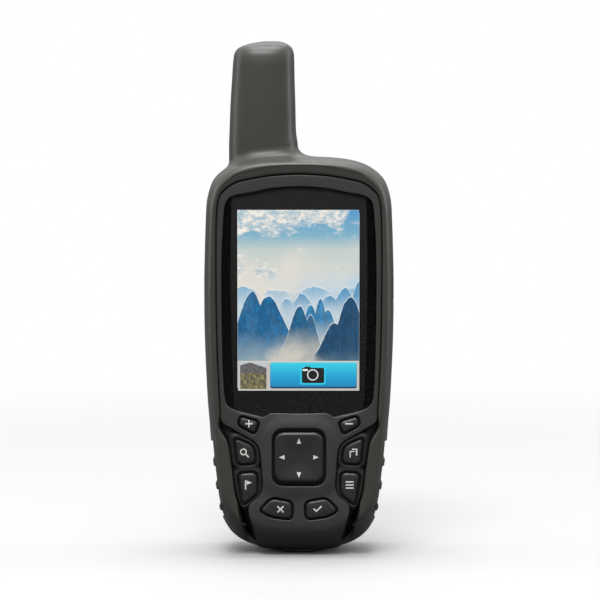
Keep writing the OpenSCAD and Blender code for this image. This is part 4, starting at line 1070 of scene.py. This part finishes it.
# ------------------------------------------------------------------ window and display
ink_open = even(soft([[-19.25, 108.45], [18.91, 108.45], [18.91, 51.95], [-19.25, 51.95]], 0.5, 4), 160)
ink = slab(offset(lens_c, 0.05), [ink_open], lambda x, z: -15.33 + 0 * x, -15.24, fillet=0.01, hole_fillet=0.01, grid=6.0, steps=1)
piece("window_ink_reflection", ink, INK_REFLECTION, "housing", "window_panel", "lens_adhesive", angle=30, weights=False)
lit = prism(even([[-19.02, 108.2], [18.68, 108.2], [18.68, 52.2], [-19.02, 52.2]], 120), -15.06, -15.01)
piece("display_picture", lit, PICTURE, "housing", "display", angle=30, weights=False)


# ------------------------------------------------------------------ keys
def key_cap(poly, t, face, gap=0.58):
    c = even(soft(inset(poly, gap), t - 0.3, 10), 72)
    mid = c.mean(0)
    span = dist(mid[None], c)[0]

    def top(x, z):
        q = np.stack([np.atleast_1d(x), np.atleast_1d(z)], 1).astype(float)
        d = dist(q, c)
        return face - 0.5 + 0.16 * (1 - sstep(d, 0.0, span)) - 0.0 * d

    cap = slab(c, [], top, -13.56, fillet=0.78, grid=0.75, steps=7)
    flange = prism(soft(inset(poly, -0.6), t, 6), -13.6, -12.8)
    stem = ycyl(float(np.mean([p[0] for p in poly])), float(np.mean([p[1] for p in poly])), -12.9, -10.5, 1.1, 24)
    return merge([cap, flange, stem]), top, mid


def thick(shape, top, rise=0.035, sink=0.12):
    """Flat print following a key's face: shape is a closed outline."""
    shape = np.asarray(shape, float)
    if len(shape) < 24:
        shape = even(shape, 48)
    return slab(shape, [], lambda x, z: top(x, z) - rise, lambda x, z: top(x, z) + sink, fillet=0.012, grid=0.7, steps=1)


def ring_shape(cx, cz, r, w, top, rise=0.035, sink=0.12):
    a = np.linspace(0, 2 * math.pi, 40, endpoint=False)
    o = np.stack([cx + r * np.cos(a), cz + r * np.sin(a)], 1)
    i = np.stack([cx + (r - w) * np.cos(a), cz + (r - w) * np.sin(a)], 1)
    return slab(o, [i], lambda x, z: top(x, z) - rise, lambda x, z: top(x, z) + sink, fillet=0.012, hole_fillet=0.012, grid=2.0, steps=1)


def bar_shape(x0, z0, x1, z1, w):
    a, b = np.array([x0, z0], float), np.array([x1, z1], float)
    u = (b - a) / np.linalg.norm(b - a)
    n = np.array([-u[1], u[0]]) * w / 2
    e = u * w * 0.2
    return [a + n, b + n, b + e, b - n, a - n, a - e]


def symbols(kind, cx, cz, top):
    """Plain signs, about 2.4 mm across."""
    s, w = 1.0, 0.42
    T = lambda pts: thick([(cx + p[0] * s, cz + p[1] * s) for p in pts], top)
    bar = lambda *a: T(bar_shape(*a, w))
    if kind == "plus":
        return [T([(-0.21, 1.15), (0.21, 1.15), (0.21, 0.21), (1.15, 0.21), (1.15, -0.21), (0.21, -0.21), (0.21, -1.15), (-0.21, -1.15), (-0.21, -0.21), (-1.15, -0.21), (-1.15, 0.21), (-0.21, 0.21)])]
    if kind == "minus":
        return [bar(-1.15, 0, 1.15, 0)]
    if kind == "find":
        return [ring_shape(cx - 0.3, cz + 0.35, 1.05, 0.36, top), bar(0.48, -0.42, 1.35, -1.3)]
    if kind == "mark":
        return [bar(-0.8, -1.4, -0.8, 1.4), T([(-0.5, 1.35), (1.25, 0.75), (-0.5, 0.05)])]
    if kind == "page":
        return [T([(-1.2, 0.65), (0.35, 0.65), (0.35, 0.32), (-0.86, 0.32), (-0.86, -1.35), (-1.2, -1.35)]),
                T([(-0.45, 1.35), (1.2, 1.35), (1.2, -0.8), (0.72, -0.8), (0.72, 0.98), (-0.45, 0.98)])]
    if kind == "menu":
        return [bar(-1.2, 0.95, 1.2, 0.95), bar(-1.2, 0, 1.2, 0), bar(-1.2, -0.95, 1.2, -0.95)]
    if kind == "quit":
        return [T([(-1.1, 0.8), (-0.8, 1.1), (0, 0.3), (0.8, 1.1), (1.1, 0.8), (0.3, 0), (1.1, -0.8), (0.8, -1.1), (0, -0.3), (-0.8, -1.1), (-1.1, -0.8), (-0.3, 0)])]
    return [T([(-1.35, 0.1), (-1.05, 0.4), (-0.35, -0.3), (1.15, 1.15), (1.45, 0.85), (-0.35, -0.92)])]


KEYS = [("zoom_in", 0, 0, PLATE_Y, "plus", (0.1, 0.25)), ("zoom_out", 0, 1, PLATE_Y, "minus", (-0.1, 0.25)), ("find", 1, 0, PANEL_Y, "find", (0.0, -0.1)),
        ("page", 1, 1, PANEL_Y, "page", (0.0, -0.1)), ("mark", 2, 0, PANEL_Y, "mark", (0.1, 0.5)), ("menu", 2, 1, PANEL_Y, "menu", (-0.1, 0.5)),
        ("quit", 3, 0, PLATE_Y, "quit", (0.7, 0.0)), ("enter", 3, 1, PLATE_Y, "enter", (-0.7, 0.0))]
for key, k, flip, face, sign, nudge in KEYS:
    poly = HOLES[k] if not flip else mirror(HOLES[k])
    geo, top, mid = key_cap(poly, CORNER[k], face)
    piece("cap_" + key, geo, MAT["key_rubber"], key + "_key", "key_rubber", "key_" + key, angle=46)
    marks = symbols(sign, mid[0] + nudge[0], mid[1] + nudge[1], top)
    piece("sign_" + key, merge(marks), WHITE, key + "_key", "key_rubber", angle=30, weights=False)

pad_c = even(soft([[-7.6, 39.5], [7.6, 39.5], [7.6, 24], [-7.6, 24]], 3.4, 12), 110)


def pad_y(x, z):
    q = np.stack([np.atleast_1d(x), np.atleast_1d(z)], 1).astype(float)
    return -17.98 + 0.62 * sstep(dist(q, pad_c), 0.7, 6.5)


pad = slab(pad_c, [], pad_y, -12.7, fillet=0.95, grid=0.95, steps=8)
pad_flange = prism(soft([[-9.1, 41.2], [9.1, 41.2], [9.1, 22.2], [-9.1, 22.2]], 3, 8), -12.8, -12.3)
yokes = []
for s in (-1, 1):
    yokes += [ybox(-1.3, 1.3, -12.4, -9.9, ROCKER_Z + s * 3.9 - 0.7, ROCKER_Z + s * 3.9 + 0.7), ycyl(s * 6.4, ROCKER_Z, -12.4, -10.4, 0.9, 24), ycyl(0, ROCKER_Z + s * 6.4, -12.4, -10.4, 0.9, 24)]
piece("rocker_cap", merge([pad, pad_flange] + yokes), MAT["key_rubber"], "rocker", "key_rubber", "rocker_pad", angle=46)
tri = []
for cx, cz, a in ((0, 36.7, 90), (0, 26.35, -90), (-5.2, 31.75, 180), (5.2, 31.75, 0)):
    a = math.radians(a)
    pts = [(cx + r * math.cos(a + b), cz + r * math.sin(a + b)) for r, b in ((0.98, 0), (1.02, math.radians(138)), (1.02, math.radians(-138)))]
    tri.append(thick(pts, pad_y))
piece("rocker_signs", merge(tri), WHITE, "rocker", "key_rubber", angle=30, weights=False)

# ------------------------------------------------------------------ power key on the right edge
pk = soft([[-12.8, 89.4], [-7.2, 89.4], [-7.2, 79.8], [-12.8, 79.8]], 2.7, 12)
pk = even(pk, 72)


def turn_x(geo):
    """Turns a shape made facing -Y, with its own x along Y, to face +X."""
    v, f = geo
    return [(-p[1], p[0], p[2]) for p in v], f


def power_face(x, z):
    q = np.stack([np.atleast_1d(x), np.atleast_1d(z)], 1).astype(float)
    return -29.42 + 0.30 * sstep(dist(q, pk), 3.0, 0.0) * 0.8


power = slab(pk, [], power_face, -25.5, fillet=0.5, grid=0.8, steps=5)
lip = xprism(soft([[-12.9, 91.2], [-6.1, 91.2], [-6.1, 78], [-12.9, 78]], 2.7), 24.6, 25.55)
piece("power_cap", merge([turn_x(power), lip]), MAT["grip_rubber"], "power_key", "grip_rubber", "power_button", angle=46)
arc = np.linspace(math.radians(125), math.radians(415), 40)
outer_arc = [(-10 + 1.5 * math.cos(a), 84.5 + 1.5 * math.sin(a)) for a in arc]
inner_arc = [(-10 + 1.12 * math.cos(a), 84.5 + 1.12 * math.sin(a)) for a in arc[::-1]]
mark_arc = slab(np.array(outer_arc + inner_arc), [], lambda x, z: power_face(x, z) - 0.03, lambda x, z: power_face(x, z) + 0.1, fillet=0.01, grid=2.0, steps=1)
mark_bar = slab(even([(-10.19, 86.5), (-9.81, 86.5), (-9.81, 84.6), (-10.19, 84.6)], 24), [], lambda x, z: power_face(x, z) - 0.03, lambda x, z: power_face(x, z) + 0.1, fillet=0.01, grid=2.0, steps=1)
piece("power_sign", turn_x(merge([mark_arc, mark_bar])), GREY, "power_key", "grip_rubber", angle=30, weights=False)

# ------------------------------------------------------------------ side grips
SIDE = np.array([[p[1], p[0]] for p in reversed(OUT_HALF)])
RIBS = ((13.2, 14.7), (19.95, 22.0), (27.4, 29.5))


def grip(side):
    zs = np.concatenate([[9.9, 9.93, 10.05, 10.3], np.arange(10.8, 34.6, 0.28), [34.7, 34.9, 35.02, 35.05]])
    ys = np.concatenate([[-14.8, -14.76, -14.6, -14.3], np.linspace(-13.8, 5.7, 30), [6.1, 6.4, 6.56, 6.6]])
    rings = []
    for z in zs:
        x = float(np.interp(z, SIDE[:, 0], SIDE[:, 1]))
        rib = max(float(sstep(z, a - 0.18, a + 0.18) * sstep(z, b + 0.18, b - 0.18)) for a, b in RIBS)
        outer_row, inner_row = [], []
        for y in ys:
            edge = min(z - 9.9, 35.05 - z, y + 14.8, 6.6 - y)
            fade = float(sstep(min(y + 14.8, 6.6 - y), -0.4, 1.2))
            d = 0.55 - 0.55 * rib * fade
            d += 0.5 * (1 - math.sqrt(max(0.0, 1 - (1 - min(1.0, edge / 0.5)) ** 2)))
            q = skin([[x, z]], row_at(y))[0]
            outer_row.append((side * (q[0] - d), q[1], q[2]))
            inner_row.append((side * (q[0] - 1.4), q[1], q[2]))
        rings.append(outer_row + inner_row[::-1])
    return loft(rings)


piece("grip_pad_right", grip(1), MAT["grip_rubber"], "housing", "grip_rubber", "grip_right", angle=60)
piece("grip_pad_left", grip(-1), MAT["grip_rubber"], "housing", "grip_rubber", "grip_left", angle=60)

# ------------------------------------------------------------------ battery door and latch
door = obj_from("door_shell", plain[0], plain[1], MAT["shell_plastic"])
door_c = offset(door_hole, 0.3)
cut(door, prism(door_c, 10.5, 22), "INTERSECT")
inner_c = soft([[-20.8, 84.6], [20.8, 84.6], [20.8, 17.5], [11.2, 6.9], [-11.2, 6.9], [-20.8, 17.5]], 4, 8)
cut(door, prism(inner_c, 9.5, 13.1))
boss = obj_from("boss", *prism(np.stack([9.85 * np.cos(np.linspace(0, 2 * math.pi, 72, endpoint=False)), LATCH_Z + 9.85 * np.sin(np.linspace(0, 2 * math.pi, 72, endpoint=False))], 1), 10.8, 13.3), None)
hold = ([tuple(k / MM for k in v.co) for v in boss.data.vertices], [tuple(p.vertices) for p in boss.data.polygons])
bpy.data.objects.remove(boss)
cut(door, hold, "UNION")
cut(door, revolve_y([(9.0, 12), (9.0, 14.3), (9.1, 14.7), (9.45, 15.05), (10.0, 15.3), (11.5, 15.9)], 0, LATCH_Z, 72))
cut(door, ycyl(0, LATCH_Z, 9, 13, 3.05, 40))
cut(door, ycyl(0, LATCH_Z - 9.3, 13.2, 20, 2.6, 40))
shade(door, 34)
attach(door, "battery_door")
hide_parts("battery_cover")

# ------------------------------------------------------------------ floor
bpy.ops.mesh.primitive_plane_add(size=30, location=(0, 0, 0))
floor = bpy.context.object
floor.name = "floor"
s = Shade("floor")
fx, fy, _ = s.xyz()
far = s.math("SQRT", s.math("ADD", s.math("MULTIPLY", fx, fx), s.math("MULTIPLY", fy, fy)))
seen = s.n("LightPath").outputs["Is Camera Ray"]
fl = s.noise(3.0, 3.0, 0.5)
near = s.principled(s.mix(seen, (0.10, 0.10, 0.10), s.ramp(fl, [(0.3, (FLOOR, FLOOR, FLOOR)), (0.7, (FLOOR * 1.02, FLOOR * 1.02, FLOOR * 1.02))])), 0.8, None, Specular_IOR_Level=0.05)
white = s.n("Emission")
white.inputs[0].default_value = (1, 1, 1, 1)
melt = s.n("MixShader")
s.put(melt.inputs[0], s.math("MULTIPLY", seen, s.smooth(far, 0.16, 0.55)))
s.t.links.new(near.outputs[0], melt.inputs[1])
s.t.links.new(white.outputs[0], melt.inputs[2])
floor.data.materials.append(s.done(melt))
